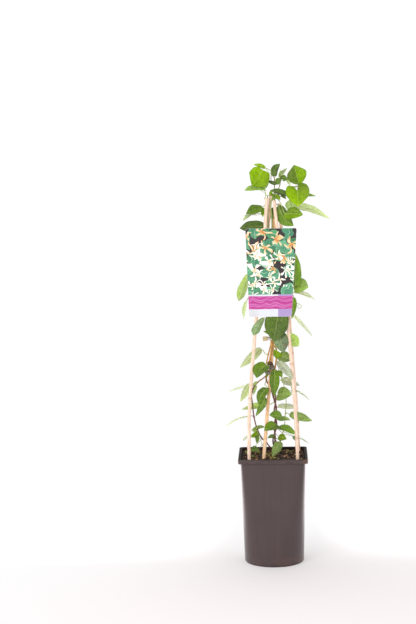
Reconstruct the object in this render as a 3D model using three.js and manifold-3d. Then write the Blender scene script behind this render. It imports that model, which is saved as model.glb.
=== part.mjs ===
// A young honeysuckle vine in a tall nursery pot, trained up a teepee of thin canes.
// Millimetres, +Z up. The origin is the centre of the pot's base, on the surface it stands on.
// The front, where the label hangs, looks along -Y, and +X is to its right.
import * as THREE from "three";
import { mergeVertices } from "three/addons/utils/BufferGeometryUtils.js";
import Module from "manifold-3d";

const wasm = await Module();
wasm.setup();

// ---- driving dimensions ----

const CLEARANCE = 0.4; // space between pieces that touch

// The pot is round at its base and square at its rim.
const POT_HEIGHT = 213.5;
const POT_BASE_DIAMETER = 116.6;
const POT_TOP_SIDE = 126;
const POT_TOP_CORNER = 10;
const POT_WALL = 1.6;
const POT_FLOOR = 2.4;
const POT_HEEL = 1.5; // rounding where the wall meets the base
const POT_BASE_FLAT = 0.5; // half of the short flat left between two corners at the round base
const POT_LEVELS = [3, 45, 90, 135, 175]; // heights at which the wall changes shape evenly
const RIM_SIDE = 135.6;
const RIM_CORNER = 8;
const RIM_SKIRT = 8; // how far the turned-down edge of the rim reaches
const DRAIN_RADIUS = 5;
const DRAIN_REACH = 34; // place of the four drain holes, from the middle, along X and Y
const CORNER_STEPS = 6; // flat faces in each rounded corner

const SOIL_TOP = 208; // at the wall; the middle stands a little higher
const SOIL_CROWN = 2;
const SOIL_CROWN_SHARES = [0.8, 0.4]; // of the half width, where it has risen by half and in full
const SOCKET_ABOVE = 8; // how far above the soil the tools that cut its holes reach
const SOCKET_POINTS = 4; // places at which those tools follow the cane or stem

const CANE_RADIUS = 3.5;
const STAKE_RADIUS = 3.6;
const CANE_SIDES = 12;
const STEM_SIDES = 6;
const ROOT_DEPTH = 14; // how deep the stems go into the soil
const CANE_STEP = 60; // length of one straight stretch of a bowed cane
const STEM_STEP = 9;

const TWINE_START = 470; // from here to TWINE_END the strands wind evenly round the stake
const TWINE_END = 600;
const TWINE_STEP = 13;
const TWINE_RATE = 3; // degrees for each millimetre of height
const TWINE_RADIUS = 6;
const TWIST_RADIUS = 2.1; // half the distance between the two strands twisted low down
const TWIST_PITCH = 59.3;
const TWIST_POINTS = 24;

const STALK_RADIUS = 0.75;
const STALK_LEAD = 3; // the first stretch of a leaf stalk stands straight out of its stem
const BLADE_HALF_THICKNESS = 0.45;
const BLADE_TIP_HALF_WIDTH = 0.5;
const BLADE_STATIONS = [0.03, 0.12, 0.27, 0.46, 0.66, 0.85, 1]; // of the way from base to tip
const BLADE_SHOULDER = 2.2; // how round the blade is below its widest place
const STALK_END = 0.15; // share of the last stretch of stalk that widens into the blade

const LABEL_THICKNESS = 0.6;
const LABEL_CORNER = 4;
const LABEL_HEIGHT = 170;
const LABEL_HALF_FOOT = 40.8;
const LABEL_HALF_HEAD = 49.6;
const LABEL_SHIFT = 3.4; // the head of the sheet sits this far to the right of its foot
const LABEL_FOOT = [-1, -32.3, 486.5]; // middle of the lower edge
const LABEL_LEAN = 6.8; // degrees that the sheet leans back on to the canes

const UPPER_TIE_HEIGHT = 439;
const LOWER_TIE_HEIGHT = 374;
const TIE_INNER_RADIUS = 10.4;
const TIE_THICKNESS = 1;
const TIE_WIDTH = 5;
const TIE_SIDES = 20;
const TIE_TAB_LENGTH = 8;
const TIE_TAB_WIDTH = 9;

// ---- routes, bottom to top ----

const CANE_ROUTES = {
  cane_front_left: [[-46.3, -47.5, 132], [-46, -46, 204], [-44.7, -39, 298], [-40.3, -33, 358],
    [-34.4, -27, 420], [-29.9, -22, 469], [-8.9, -8, 659], [-4.8, -5, 713.5]],
  cane_front_right: [[48.5, -47.5, 132], [47.7, -46, 204], [45.2, -40, 280], [42, -35, 346],
    [39.1, -32, 383], [33.4, -24, 457], [13.7, -8, 659.5], [9, -5, 709]],
  cane_back_right: [[51.8, 48, 178], [51, 46.5, 204], [48.4, 40, 284], [44, 33, 353],
    [37.3, 24, 452], [27, 14, 592], [18.5, 6, 702]],
  cane_back_left: [[-49, 48, 178], [-48.4, 46.5, 204], [-45.8, 40, 298], [-40.2, 32, 358],
    [-35, 25, 420], [-29.6, 21, 469], [-3, 10, 659], [2.7, 8, 718.8]],
};

const STAKE_ROUTE = [[-24.5, -38, 132], [-18.4, -32, 204], [-13.3, -28, 258], [-10.2, -25, 295],
  [-6.6, -20, 331], [-2.6, -15, 371], [1.4, -10, 417], [2.7, -8, 432], [9, 0, 673]];

// The line that the two twisted strands follow, from the soil to where they part.
const TWIST_LINE = [[1, 22, 188], [2, 18, 232], [3.5, 14, 249], [6, 10, 266], [6, 8, 280],
  [5.5, 6.5, 296], [6, 6, 312], [4, 6, 326]];

const SHOOT_ROUTES = {
  shoot_crown: { on: "stem_right", at: 722, radius: 1,
    route: [[24, 1, 723], [36, 0, 726], [46, -4, 730], [52, -9, 736]] },
  shoot_label_right: { on: "stem_right", at: 503, radius: 1,
    route: [[21, -4, 508], [32, -1, 518], [40, 1, 530], [43, 0, 550]] },
  shoot_label_left: { on: "stem_left", at: 506, radius: 1,
    route: [[-12, -7, 515], [-23, -4, 532], [-33, -1, 553], [-38, 0, 574]] },
};

// ---- leaves ----
// on, at: the stem that carries the leaf and the height where its stalk leaves it.
// via: points that a long stalk passes. base, tip: the two ends of the blade.
// face: the way the upper side looks. wide: the blade's full width. fold: how far, in degrees, the two
// halves are raised from the midrib. bow: how far the middle is lifted towards the upper side. sway: how
// far the midrib bends to the blade's left. peak: where the blade is widest. lobe: how far the rounded
// corners at the base reach back.

const LEAF_DEFAULTS = { via: [], fold: 14, bow: 2, sway: 0, peak: 0.38, lobe: 0, straight: 0 };

const LEAVES = {
  leaf_crown_01: { on: "stem_middle", at: 744, via: [[3, 9, 766]], base: [-14.5, -2, 768.5],
    tip: [-33, -16, 738], face: [0.1, -0.95, 0.3], wide: 42, fold: 10, lobe: 2, peak: 0.48, sway: 4 },
  leaf_crown_02: { on: "stem_left", at: 711, via: [[-7, 1.5, 719]], base: [-11, -7, 730],
    tip: [-47, -31, 729], face: [0.1, -0.38, 0.92], wide: 27, lobe: 5 },
  leaf_crown_03: { on: "stem_middle", at: 748, base: [11, 0, 754], tip: [21.5, -8, 778.5],
    face: [-0.4, -0.8, 0.3], wide: 18, fold: 20, sway: 3.5, peak: 0.42 },
  leaf_crown_04: { on: "shoot_crown", at: 733, base: [56, -5, 738], tip: [48, -16, 776],
    face: [0.1, -0.95, 0.1], wide: 47, fold: 24, peak: 0.58, bow: 4, straight: 0.75 },
  leaf_crown_05: { on: "shoot_crown", at: 730, base: [53, -16, 735], tip: [55, -38, 698],
    face: [0, -0.85, 0.5], wide: 46, lobe: 7, fold: 10, peak: 0.36 },
  leaf_crown_06: { on: "shoot_crown", at: 725, base: [39, -2, 709], tip: [46, -6, 685],
    face: [0, 0.95, 0.2], wide: 24 },
  leaf_crown_07: { on: "shoot_crown", at: 726, via: [[42, 4, 712]], base: [53, 4, 699],
    tip: [117, 20, 670], face: [0, 0.8, 0.6], wide: 19, bow: 5, peak: 0.22 },
  leaf_crown_08: { on: "stem_middle", at: 712, via: [[20, -3, 706], [25, -7, 694]], base: [30, -12, 683],
    tip: [64, -30, 681], face: [0.1, -0.9, 0.45], wide: 28 },
  leaf_crown_09: { on: "stem_middle", at: 702, base: [17, 0, 698], tip: [46, -4, 659],
    face: [-0.25, -0.96, 0], wide: 26, fold: 6, bow: 1, sway: -5.5, peak: 0.5 },
  leaf_crown_10: { on: "stem_middle", at: 704, via: [[9, 15, 702]], base: [8, 16, 695],
    tip: [7, 15.5, 661], face: [0, -1, 0], wide: 12, fold: 6, bow: 0 },
  leaf_crown_11: { on: "stem_left", at: 701, via: [[-9, 3.5, 700]], base: [-14, 1, 695],
    tip: [-45, -18, 683.5], face: [-0.2, -0.75, 0.6], wide: 28, lobe: 3, straight: 0.4 },
  leaf_crown_12: { on: "stem_left", at: 655, base: [-9, 2, 657], tip: [-58, -3, 656],
    face: [0, -0.8, 0.6], wide: 28, peak: 0.52 },
  leaf_crown_13: { on: "stem_right", at: 721, via: [[22, -5, 716]], base: [31.5, -9, 719],
    tip: [1.5, -18, 728], face: [-0.1, -0.75, 0.65], wide: 16, fold: 20, lobe: 2 },
  leaf_label_01: { on: "shoot_label_right", at: 545, via: [[47, -2, 549]], base: [48, -5, 543],
    tip: [49, -8, 606], face: [0.4, -0.9, 0], wide: 22, lobe: 2 },
  leaf_label_02: { on: "shoot_label_right", at: 537, base: [46, 5, 538], tip: [73, 0, 539],
    face: [0.1, -0.85, 0.5], wide: 33, lobe: 4, sway: 3 },
  leaf_label_03: { on: "shoot_label_right", at: 530, base: [46, 6, 530], tip: [86, 18, 514],
    face: [0, 0.45, 0.9], wide: 20, peak: 0.2, lobe: 1 },
  leaf_label_04: { on: "shoot_label_right", at: 524, via: [[42, -4, 527]], base: [44, -5, 521],
    tip: [40, -13, 480], face: [0.5, -0.85, 0], wide: 14 },
  leaf_label_05: { on: "shoot_label_left", at: 570, base: [-42, -1, 567], tip: [-62, -13, 516],
    face: [-0.3, -0.9, 0.1], wide: 19, peak: 0.7 },
  leaf_label_06: { on: "shoot_label_left", at: 534, via: [[-37, 0, 528]], base: [-47, 2, 514],
    tip: [-53, -8, 481], face: [-0.75, -0.65, 0.1], wide: 12 },
  leaf_label_07: { on: "stem_middle", at: 478, base: [38, 5, 486], tip: [81, 24, 440],
    face: [0.5, -0.5, 0.6], wide: 12 },
  leaf_label_08: { on: "stem_left", at: 514, base: [15, -25, 503], tip: [5, -36, 439],
    face: [0, -0.97, 0.2], wide: 46, lobe: 3, fold: 6, bow: 0, peak: 0.48 },
  leaf_label_09: { on: "stem_left", at: 484, via: [[-9, -13, 487]], base: [-14, -25, 484],
    tip: [-34, -43, 452], face: [-0.3, -0.8, 0.5], wide: 19, peak: 0.76, straight: 0.2 },
  leaf_label_10: { on: "stem_left", at: 448, via: [[6, 1, 448]], base: [27, 8, 443],
    tip: [54, 27, 422], face: [0.2, -0.9, 0.3], wide: 23, fold: 8, peak: 0.58, sway: 2.5 },
  leaf_middle_01: { on: "stem_middle", at: 448, base: [15, -22, 452], tip: [23, -34, 417],
    face: [0.1, -0.9, 0.4], wide: 29, lobe: 3, peak: 0.45 },
  leaf_middle_02: { on: "stem_right", at: 402, base: [17, -13, 407], tip: [37, -24, 400],
    face: [0.1, -0.9, 0.35], wide: 24, lobe: 3 },
  leaf_middle_03: { on: "stem_left", at: 410, base: [-19, -3, 419], tip: [-62, 14, 382],
    face: [0.1, 0.9, 0.3], wide: 18 },
  leaf_middle_04: { on: "stem_middle", at: 397, base: [-11, -26, 392], tip: [-29, -46, 370],
    face: [-0.2, -0.85, 0.45], wide: 29, sway: -4, lobe: 3 },
  leaf_middle_05: { on: "stem_right", at: 397, base: [12, -23, 398], tip: [41, -50, 367],
    face: [0.2, -0.9, 0.4], wide: 18 },
  leaf_middle_06: { on: "stem_right", at: 384, base: [6, -26, 380], tip: [4, -36, 332],
    face: [0, -0.95, 0.2], wide: 21, lobe: 4, straight: 0.3 },
  leaf_middle_07: { on: "shoot_back", at: 356, base: [17.5, 29, 353.5], tip: [54.5, 55, 339.5],
    face: [0.05, -0.85, 0.5], wide: 18 },
  leaf_lower_01: { on: "stem_left", at: 334, via: [[-38, -8, 338]], base: [-46, 6, 345], tip: [-87, 30, 331],
    face: [0.1, -0.45, 0.9], wide: 12 },
  leaf_lower_02: { on: "stem_left", at: 346, base: [-42, -15, 352], tip: [-62, -1, 317],
    face: [0.1, 0.9, 0.3], wide: 15 },
  leaf_lower_03: { on: "stem_middle", at: 359, via: [[-14, -17, 353]], base: [-10, -28, 348],
    tip: [-26, -44, 318], face: [-0.2, -0.9, 0.3], wide: 19, sway: -3 },
  leaf_lower_04: { on: "stem_middle", at: 338, via: [[-13, -8, 336], [-15, -20, 334]],
    base: [-13, -29, 329], tip: [-32, -42, 295], face: [0.5, -0.8, 0.3], wide: 14 },
  leaf_lower_05: { on: "stem_middle", at: 314, base: [-12, -7, 309], tip: [-60, 8, 300],
    face: [0, -0.5, 0.85], wide: 20 },
  leaf_lower_06: { on: "stem_right", at: 328, base: [11, -7, 330], tip: [38, -26, 334],
    face: [0, -0.85, 0.5], wide: 30, lobe: 3 },
  leaf_lower_07: { on: "stem_middle", at: 304, base: [12, 28, 300], tip: [53, 64, 292],
    face: [0.05, -0.55, 0.85], wide: 19 },
  leaf_lower_08: { on: "shoot_back", at: 290, base: [33, 19, 287], tip: [78, 34, 271],
    face: [0, -0.8, 0.55], wide: 19 },
  leaf_lower_09: { on: "stem_middle", at: 286, base: [18, -4, 285], tip: [-6, -20, 293],
    face: [0, -0.75, 0.65], wide: 24, lobe: 2 },
  leaf_lower_10: { on: "stem_middle", at: 272, base: [8.5, -24, 274], tip: [-16, -44, 267],
    face: [-0.2, -0.75, 0.6], wide: 25, lobe: 1 },
  leaf_lower_11: { on: "stem_right", at: 265, base: [12, -8, 267.5], tip: [46, -30, 255.5],
    face: [0.2, -0.7, 0.7], wide: 18, bow: 4 },
  leaf_lower_12: { on: "stem_left", at: 291, base: [-46, -11, 290], tip: [-94, 10, 264],
    face: [0.1, 0.1, 1], wide: 11, bow: 4 },
  leaf_lower_13: { on: "stem_middle", at: 241, base: [14, -6, 237], tip: [-1.5, -24, 212],
    face: [0.1, -0.9, 0.4], wide: 18 },
};

// ---- geometry helpers ----

const vector = ([x, y, z]) => new THREE.Vector3(x, y, z);
const radians = THREE.MathUtils.degToRad;

function curveThrough(points) {
  return new THREE.CatmullRomCurve3(points.map((p) => (p.isVector3 ? p : vector(p))), false, "centripetal");
}

// Keeps only the positions, with shared corners merged, and turns the faces outwards.
function closedGeometry(source) {
  source.deleteAttribute("normal");
  source.deleteAttribute("uv");
  const geometry = mergeVertices(source, 1e-4);
  if (signedVolume(geometry) < 0) {
    const order = geometry.index.array;
    for (let i = 0; i < order.length; i += 3) {
      [order[i + 1], order[i + 2]] = [order[i + 2], order[i + 1]];
    }
  }
  return geometry;
}

function signedVolume(geometry) {
  const { index, attributes: { position } } = geometry;
  const [a, b, c] = [new THREE.Vector3(), new THREE.Vector3(), new THREE.Vector3()];
  let volume = 0;
  for (let i = 0; i < index.count; i += 3) {
    a.fromBufferAttribute(position, index.getX(i));
    b.fromBufferAttribute(position, index.getX(i + 1));
    c.fromBufferAttribute(position, index.getX(i + 2));
    volume += a.dot(b.cross(c)) / 6;
  }
  return volume;
}

function toSolid(geometry) {
  return new wasm.Manifold(new wasm.Mesh({
    numProp: 3,
    vertProperties: geometry.attributes.position.array,
    triVerts: new Uint32Array(geometry.index.array),
  }));
}

function fromSolid(solid) {
  const { vertProperties, triVerts } = solid.getMesh();
  const geometry = new THREE.BufferGeometry();
  geometry.setAttribute("position", new THREE.BufferAttribute(vertProperties, 3));
  geometry.setIndex(new THREE.BufferAttribute(triVerts, 1));
  return geometry;
}

function cut(body, tools) {
  const removeOne = (solid, tool) => solid.subtract(toSolid(tool));
  return fromSolid(tools.reduce(removeOne, toSolid(body)));
}

function join(a, b) {
  return fromSolid(toSolid(a).add(toSolid(b)));
}

// A round rod of flat faces along a curve.
function rod(curve, radius, sides, step) {
  const outline = [];
  for (let i = 0; i < sides; i += 1) {
    const angle = (2 * Math.PI * i) / sides;
    outline.push(new THREE.Vector2(radius * Math.cos(angle), radius * Math.sin(angle)));
  }
  const steps = Math.max(2, Math.round(curve.getLength() / step));
  return closedGeometry(new THREE.ExtrudeGeometry(new THREE.Shape(outline), { steps, extrudePath: curve }));
}

// Skins a stack of rings that all have the same number of corners, and closes both ends.
function loft(rings) {
  const corners = rings[0].length;
  const positions = rings.flat().flatMap((p) => p.toArray());
  const faces = [];
  for (let r = 0; r + 1 < rings.length; r += 1) {
    for (let c = 0; c < corners; c += 1) {
      const [a, b] = [r * corners + c, r * corners + ((c + 1) % corners)];
      faces.push(a, b, b + corners, a, b + corners, a + corners);
    }
  }
  const last = (rings.length - 1) * corners;
  for (let c = 1; c + 1 < corners; c += 1) {
    faces.push(0, c + 1, c);
    faces.push(last, last + c, last + c + 1);
  }
  const geometry = new THREE.BufferGeometry();
  geometry.setAttribute("position", new THREE.Float32BufferAttribute(positions, 3));
  geometry.setIndex(faces);
  return closedGeometry(geometry);
}

// ---- pot and soil ----

const potHalfSide = (z) => THREE.MathUtils.lerp(POT_BASE_DIAMETER, POT_TOP_SIDE, z / POT_HEIGHT) / 2;
const potCorner = (z) => THREE.MathUtils.lerp(
  POT_BASE_DIAMETER / 2 - POT_BASE_FLAT,
  POT_TOP_CORNER,
  z / POT_HEIGHT,
);

// A square with rounded corners at one height. A corner as wide as the square makes it round.
function roundedSquare(halfSide, corner, z) {
  const points = [];
  for (let quadrant = 0; quadrant < 4; quadrant += 1) {
    const middle = radians(quadrant * 90 + 45);
    const centre = (halfSide - corner) * Math.SQRT2;
    for (let i = 0; i <= CORNER_STEPS; i += 1) {
      const angle = radians(quadrant * 90 + (90 * i) / CORNER_STEPS);
      points.push(new THREE.Vector3(
        centre * Math.cos(middle) + corner * Math.cos(angle),
        centre * Math.sin(middle) + corner * Math.sin(angle),
        z,
      ));
    }
  }
  return points;
}

const wallRing = (z, inset) => roundedSquare(potHalfSide(z) - inset, potCorner(z) - inset, z);

function potGeometry() {
  const underRim = POT_HEIGHT - POT_WALL;
  const skirtFoot = POT_HEIGHT - RIM_SKIRT;
  const rimHalf = RIM_SIDE / 2;
  const shell = loft([
    wallRing(0, POT_HEEL),
    ...POT_LEVELS.map((z) => wallRing(z, 0)),
    wallRing(underRim, 0),
    roundedSquare(rimHalf - POT_WALL, RIM_CORNER - POT_WALL, underRim),
    roundedSquare(rimHalf - POT_WALL, RIM_CORNER - POT_WALL, skirtFoot),
    roundedSquare(rimHalf, RIM_CORNER, skirtFoot),
    roundedSquare(rimHalf, RIM_CORNER, POT_HEIGHT - POT_WALL / 2),
    roundedSquare(rimHalf - POT_WALL / 2, RIM_CORNER - POT_WALL / 2, POT_HEIGHT),
    wallRing(POT_HEIGHT, POT_WALL),
    ...POT_LEVELS.slice(1).reverse().map((z) => wallRing(z, POT_WALL)),
    wallRing(POT_FLOOR, POT_WALL),
  ]);
  const drains = [];
  for (const [sx, sy] of [[1, 1], [-1, 1], [-1, -1], [1, -1]]) {
    const drain = new THREE.CylinderGeometry(DRAIN_RADIUS, DRAIN_RADIUS, POT_FLOOR * 4, CANE_SIDES);
    drain.rotateX(Math.PI / 2);
    drain.translate(sx * DRAIN_REACH, sy * DRAIN_REACH, 0);
    drains.push(closedGeometry(drain));
  }
  return cut(shell, drains);
}

// The soil fills the pot and has a clear hole for each cane and stem that stands in it.
function soilGeometry(standing) {
  const inset = POT_WALL + CLEARANCE;
  const topRing = (share, rise) => roundedSquare(
    (potHalfSide(SOIL_TOP) - inset) * share,
    (potCorner(SOIL_TOP) - inset) * share,
    SOIL_TOP + rise,
  );
  const body = loft([
    wallRing(POT_FLOOR + CLEARANCE, inset),
    ...[...POT_LEVELS.slice(1), SOIL_TOP].map((z) => wallRing(z, inset)),
    topRing(SOIL_CROWN_SHARES[0], SOIL_CROWN / 2),
    topRing(SOIL_CROWN_SHARES[1], SOIL_CROWN),
  ]);
  return cut(body, standing);
}

// ---- canes, stake and stems ----

const caneCurves = Object.fromEntries(
  Object.entries(CANE_ROUTES).map(([name, route]) => [name, curveThrough(route)]),
);
const stakeCurve = curveThrough(STAKE_ROUTE);

// The point of a rising curve at a height, and the way the curve goes there.
function atHeight(curve, height) {
  let [low, high] = [0, 1];
  for (let i = 0; i < 30; i += 1) {
    const middle = (low + high) / 2;
    if (curve.getPoint(middle).z < height) {
      low = middle;
    } else {
      high = middle;
    }
  }
  return { point: curve.getPoint(low), direction: curve.getTangent(low) };
}

// A point beside the stake: degrees are counted from +X towards +Y.
function besideStake(height, degrees, reach = TWINE_RADIUS) {
  const { point } = atHeight(stakeCurve, height);
  const angle = radians(degrees);
  return [point.x + reach * Math.cos(angle), point.y + reach * Math.sin(angle), height];
}

function twine(startDegrees) {
  const points = [];
  for (let height = TWINE_START; height <= TWINE_END; height += TWINE_STEP) {
    points.push(besideStake(height, startDegrees + (height - TWINE_START) * TWINE_RATE));
  }
  return points;
}

// One of the two strands that are twisted round each other; side is 1 or -1.
function twisted(side) {
  const line = curveThrough(TWIST_LINE);
  const points = [];
  for (let i = 0; i <= TWIST_POINTS; i += 1) {
    const point = line.getPoint(i / TWIST_POINTS);
    const angle = (2 * Math.PI * point.z) / TWIST_PITCH;
    const reach = side * TWIST_RADIUS;
    points.push([point.x + reach * Math.cos(angle), point.y + reach * Math.sin(angle), point.z]);
  }
  return points;
}

const STEMS = {
  stem_middle: {
    radius: 1.6,
    route: [...twisted(1), [-4, 3, 346], [-10, -3, 356], [-11, -8, 366], [-9.5, -13, 377],
      besideStake(390, 205, 6.2), besideStake(405, 240, 6.2), besideStake(420, 250, 6.2),
      besideStake(430, 258), besideStake(439, 277), besideStake(450, 305), ...twine(360),
      [12, 5, 625], [9, 9.5, 650], [8, 11, 675], [9.5, 8, 700], [10, 6, 725], [10.5, 4, 751]],
  },
  stem_right: {
    radius: 1.4,
    route: [...twisted(-1), [6.5, 2, 346], [8, -3, 358], [4.6, -10.4, 372],
      besideStake(380, 20, 8), besideStake(390, 8, 8.2),
      besideStake(401, 8, 9.5), besideStake(415, 4, 7.8), besideStake(425, 320, 8.4),
      besideStake(431, 262, 9.9), besideStake(438, 248, 8.5), besideStake(450, 228, 7.4), ...twine(240),
      [3.5, -7.8, 625], [4.2, -7.6, 650], [4.4, -5.6, 675], [2.8, -3.4, 700], [8, -0.5, 717],
      [16, 1, 727], [21, 3, 739], [22.5, 5, 754]],
  },
  stem_left: {
    radius: 1.2,
    route: [[-3, 20, 188], [-3, 18, 212], [-8, 14, 226], [-15, 9, 235], [-23, 2, 246],
      [-28, -7, 258], [-32, -16, 271], [-35, -22, 286], [-37, -26, 300], [-38, -28, 316],
      [-40, -27, 332], [-37, -26, 346], [-30, -22, 355], [-22, -18, 362], [-14, -17, 367],
      [-8.6, -18.6, 376], besideStake(390, 190, 10.4), besideStake(399, 180, 8.8),
      besideStake(415, 160, 6.8), besideStake(432, 125), besideStake(447, 120), ...twine(120),
      [0, 4, 625], [-3, 1.5, 650], [-3.4, 1, 675], [-3.6, 0.8, 700], [-3.6, 0.6, 718]],
  },
  shoot_back: {
    radius: 0.8,
    route: [[11, 25, 188], [12, 24, 214], [18, 20, 244], [23, 18, 264], [25, 18, 286], [27, 17, 308],
      [26, 15, 332], [22, 12, 351], [17, 8, 367], [13, 3, 381]],
  },
};

const stemCurves = Object.fromEntries(
  Object.entries(STEMS).map(([name, { route }]) => [name, curveThrough(route)]),
);
const stemRadii = Object.fromEntries(Object.entries(STEMS).map(([name, { radius }]) => [name, radius]));

// The first points of a side growth: just clear of the stem's bark, then straight out of it.
function foot(on, height, towards, radius) {
  const { point, direction } = atHeight(stemCurves[on], height);
  const out = vector(towards).sub(point);
  out.addScaledVector(direction, -out.dot(direction)).normalize();
  const start = point.clone().addScaledVector(out, stemRadii[on] + CLEARANCE);
  return [start, start.clone().addScaledVector(out, STALK_LEAD + radius)];
}

for (const [name, { on, at, radius, route }] of Object.entries(SHOOT_ROUTES)) {
  stemCurves[name] = curveThrough([...foot(on, at, route[0], radius), ...route]);
  stemRadii[name] = radius;
}

// ---- leaves ----

// Half the blade's width, as a share of its widest: full and round at the base, pointed at the tip.
// The more straight it is, the nearer its edges come to the four sides of a diamond.
function bladeOutline(share, peak, straight) {
  if (share < peak) {
    const full = Math.sqrt(1 - (1 - share / peak) ** BLADE_SHOULDER);
    return THREE.MathUtils.lerp(full, share / peak, straight);
  }
  const beyond = (share - peak) / (1 - peak);
  return THREE.MathUtils.lerp(1 - beyond ** 2, 1 - beyond, straight);
}

function leafGeometry(spec) {
  const { on, at, via, base, tip, face, wide, fold, bow, sway, peak, lobe, straight } = {
    ...LEAF_DEFAULTS, ...spec,
  };
  const [from, to, up] = [vector(base), vector(tip), vector(face)];
  const along = to.clone().sub(from).normalize();
  up.addScaledVector(along, -up.dot(along)).normalize();
  const left = up.clone().cross(along);
  const middle = from.clone().lerp(to, 0.5).addScaledVector(up, bow).addScaledVector(left, sway);
  const stalk = [...foot(on, at, via[0] ?? base, STALK_RADIUS), ...via.map(vector)];
  const spine = curveThrough([...stalk, from, middle, to]);
  const spans = stalk.length + 2;
  const bladeStart = stalk.length;

  const stations = [];
  for (let i = 0; i < stalk.length; i += 1) {
    stations.push({ place: i, half: 0 });
  }
  stations.push({ place: bladeStart - STALK_END, half: 0 });
  for (const share of BLADE_STATIONS) {
    const half = Math.max((wide / 2) * bladeOutline(share, peak, straight), BLADE_TIP_HALF_WIDTH);
    stations.push({ place: bladeStart + 2 * share, half, back: lobe * Math.max(0, 1 - share / peak) });
  }

  // The upper side is carried along the spine from the middle of the blade, so that nothing twists.
  const rings = new Array(stations.length);
  const turn = Math.cos(radians(fold));
  const raise = Math.sin(radians(fold));
  const ringAt = (index, upper) => {
    const { place, half, back = 0 } = stations[index];
    const share = Math.min(place / spans, 1);
    const centre = spine.getPoint(share);
    const ahead = spine.getTangent(share);
    upper.addScaledVector(ahead, -upper.dot(ahead)).normalize();
    const side = upper.clone().cross(ahead);
    const reach = half > 0 ? half * turn : STALK_RADIUS;
    const lift = half > 0 ? half * raise : 0;
    const thick = half > 0 ? BLADE_HALF_THICKNESS : STALK_RADIUS;
    const edge = (sign) => centre.clone().addScaledVector(side, sign * reach).addScaledVector(upper, lift)
      .addScaledVector(ahead, -back);
    rings[index] = [
      edge(1),
      centre.clone().addScaledVector(upper, thick),
      edge(-1),
      centre.clone().addScaledVector(upper, -thick),
    ];
  };
  const centreIndex = stations.length - Math.ceil(BLADE_STATIONS.length / 2);
  for (let i = centreIndex, upper = up.clone(); i < stations.length; i += 1) {
    ringAt(i, upper);
  }
  for (let i = centreIndex, upper = up.clone(); i >= 0; i -= 1) {
    ringAt(i, upper);
  }
  return loft(rings);
}

// ---- label and ties ----

// A thin sheet with rounded corners, wider at its head than at its foot.
function labelGeometry() {
  const corners = [
    [-LABEL_HALF_FOOT, 0], [LABEL_HALF_FOOT, 0],
    [LABEL_SHIFT + LABEL_HALF_HEAD, LABEL_HEIGHT], [LABEL_SHIFT - LABEL_HALF_HEAD, LABEL_HEIGHT],
  ].map(([x, y]) => new THREE.Vector2(x, y));
  const outline = new THREE.Shape();
  corners.forEach((corner, i) => {
    const before = corners[(i + 3) % 4].clone().sub(corner).setLength(LABEL_CORNER).add(corner);
    const after = corners[(i + 1) % 4].clone().sub(corner).setLength(LABEL_CORNER).add(corner);
    if (i === 0) {
      outline.moveTo(before.x, before.y);
    } else {
      outline.lineTo(before.x, before.y);
    }
    outline.quadraticCurveTo(corner.x, corner.y, after.x, after.y);
  });
  return closedGeometry(new THREE.ExtrudeGeometry(outline, {
    depth: LABEL_THICKNESS, bevelEnabled: false, curveSegments: 3,
  }));
}

// A band round the stake and the stems.
function bandGeometry() {
  const [inner, outer] = [TIE_INNER_RADIUS, TIE_INNER_RADIUS + TIE_THICKNESS];
  const profile = [[inner, 0], [outer, 0], [outer, TIE_WIDTH], [inner, TIE_WIDTH], [inner, 0]];
  const band = new THREE.LatheGeometry(profile.map(([x, y]) => new THREE.Vector2(x, y)), TIE_SIDES);
  band.rotateX(Math.PI / 2);
  return closedGeometry(band);
}

// The same band with a flat tab that stands out on its left.
function tabbedBandGeometry() {
  const reach = TIE_TAB_LENGTH + TIE_THICKNESS;
  const tab = new THREE.BoxGeometry(reach, TIE_THICKNESS, TIE_TAB_WIDTH);
  tab.translate(-TIE_INNER_RADIUS - reach / 2 - TIE_THICKNESS / 4, -TIE_THICKNESS, TIE_WIDTH / 2);
  return join(bandGeometry(), closedGeometry(tab));
}

// ---- materials ----

const finish = (color, roughness, metalness = 0) => () => new THREE.MeshStandardMaterial({
  color, roughness, metalness,
});
const potPlastic = finish(0x5a4e4c, 0.55);
const peat = finish(0x33231a, 0.95);
const bamboo = finish(0xe8c4a4, 0.6);
const stakeWood = finish(0xd9a06c, 0.75);
const bark = finish(0x6b4433, 0.8);
const youngBark = finish(0x9a8a4c, 0.6);
const leafGreen = finish(0x5f8a24, 0.45);
const printedCard = finish(0x4f9a76, 0.35);
const beigePlastic = finish(0xcdb98c, 0.5);
const greyPlastic = finish(0x6d6862, 0.55);

// ---- assembly ----

const plant = new THREE.Group();

function add(name, geometry, material) {
  const mesh = new THREE.Mesh(geometry, material());
  mesh.name = name;
  plant.add(mesh);
  return mesh;
}

// The part of a curve below the soil's surface, thicker by the clearance, to cut its hole.
function socket(curve, radius, sides) {
  const depth = curve.getPoint(0);
  const exit = SOIL_TOP + SOCKET_ABOVE;
  const points = [depth.clone().setZ(depth.z - 2 * CLEARANCE)];
  for (let i = 1; i <= SOCKET_POINTS; i += 1) {
    points.push(atHeight(curve, THREE.MathUtils.lerp(depth.z, exit, i / SOCKET_POINTS)).point);
  }
  return rod(curveThrough(points), radius + 2 * CLEARANCE, sides, ROOT_DEPTH);
}

const standing = [
  ...Object.values(caneCurves).map((curve) => socket(curve, CANE_RADIUS, CANE_SIDES)),
  socket(stakeCurve, STAKE_RADIUS, CANE_SIDES),
  ...Object.keys(STEMS).map((name) => socket(stemCurves[name], stemRadii[name], STEM_SIDES)),
];

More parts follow.
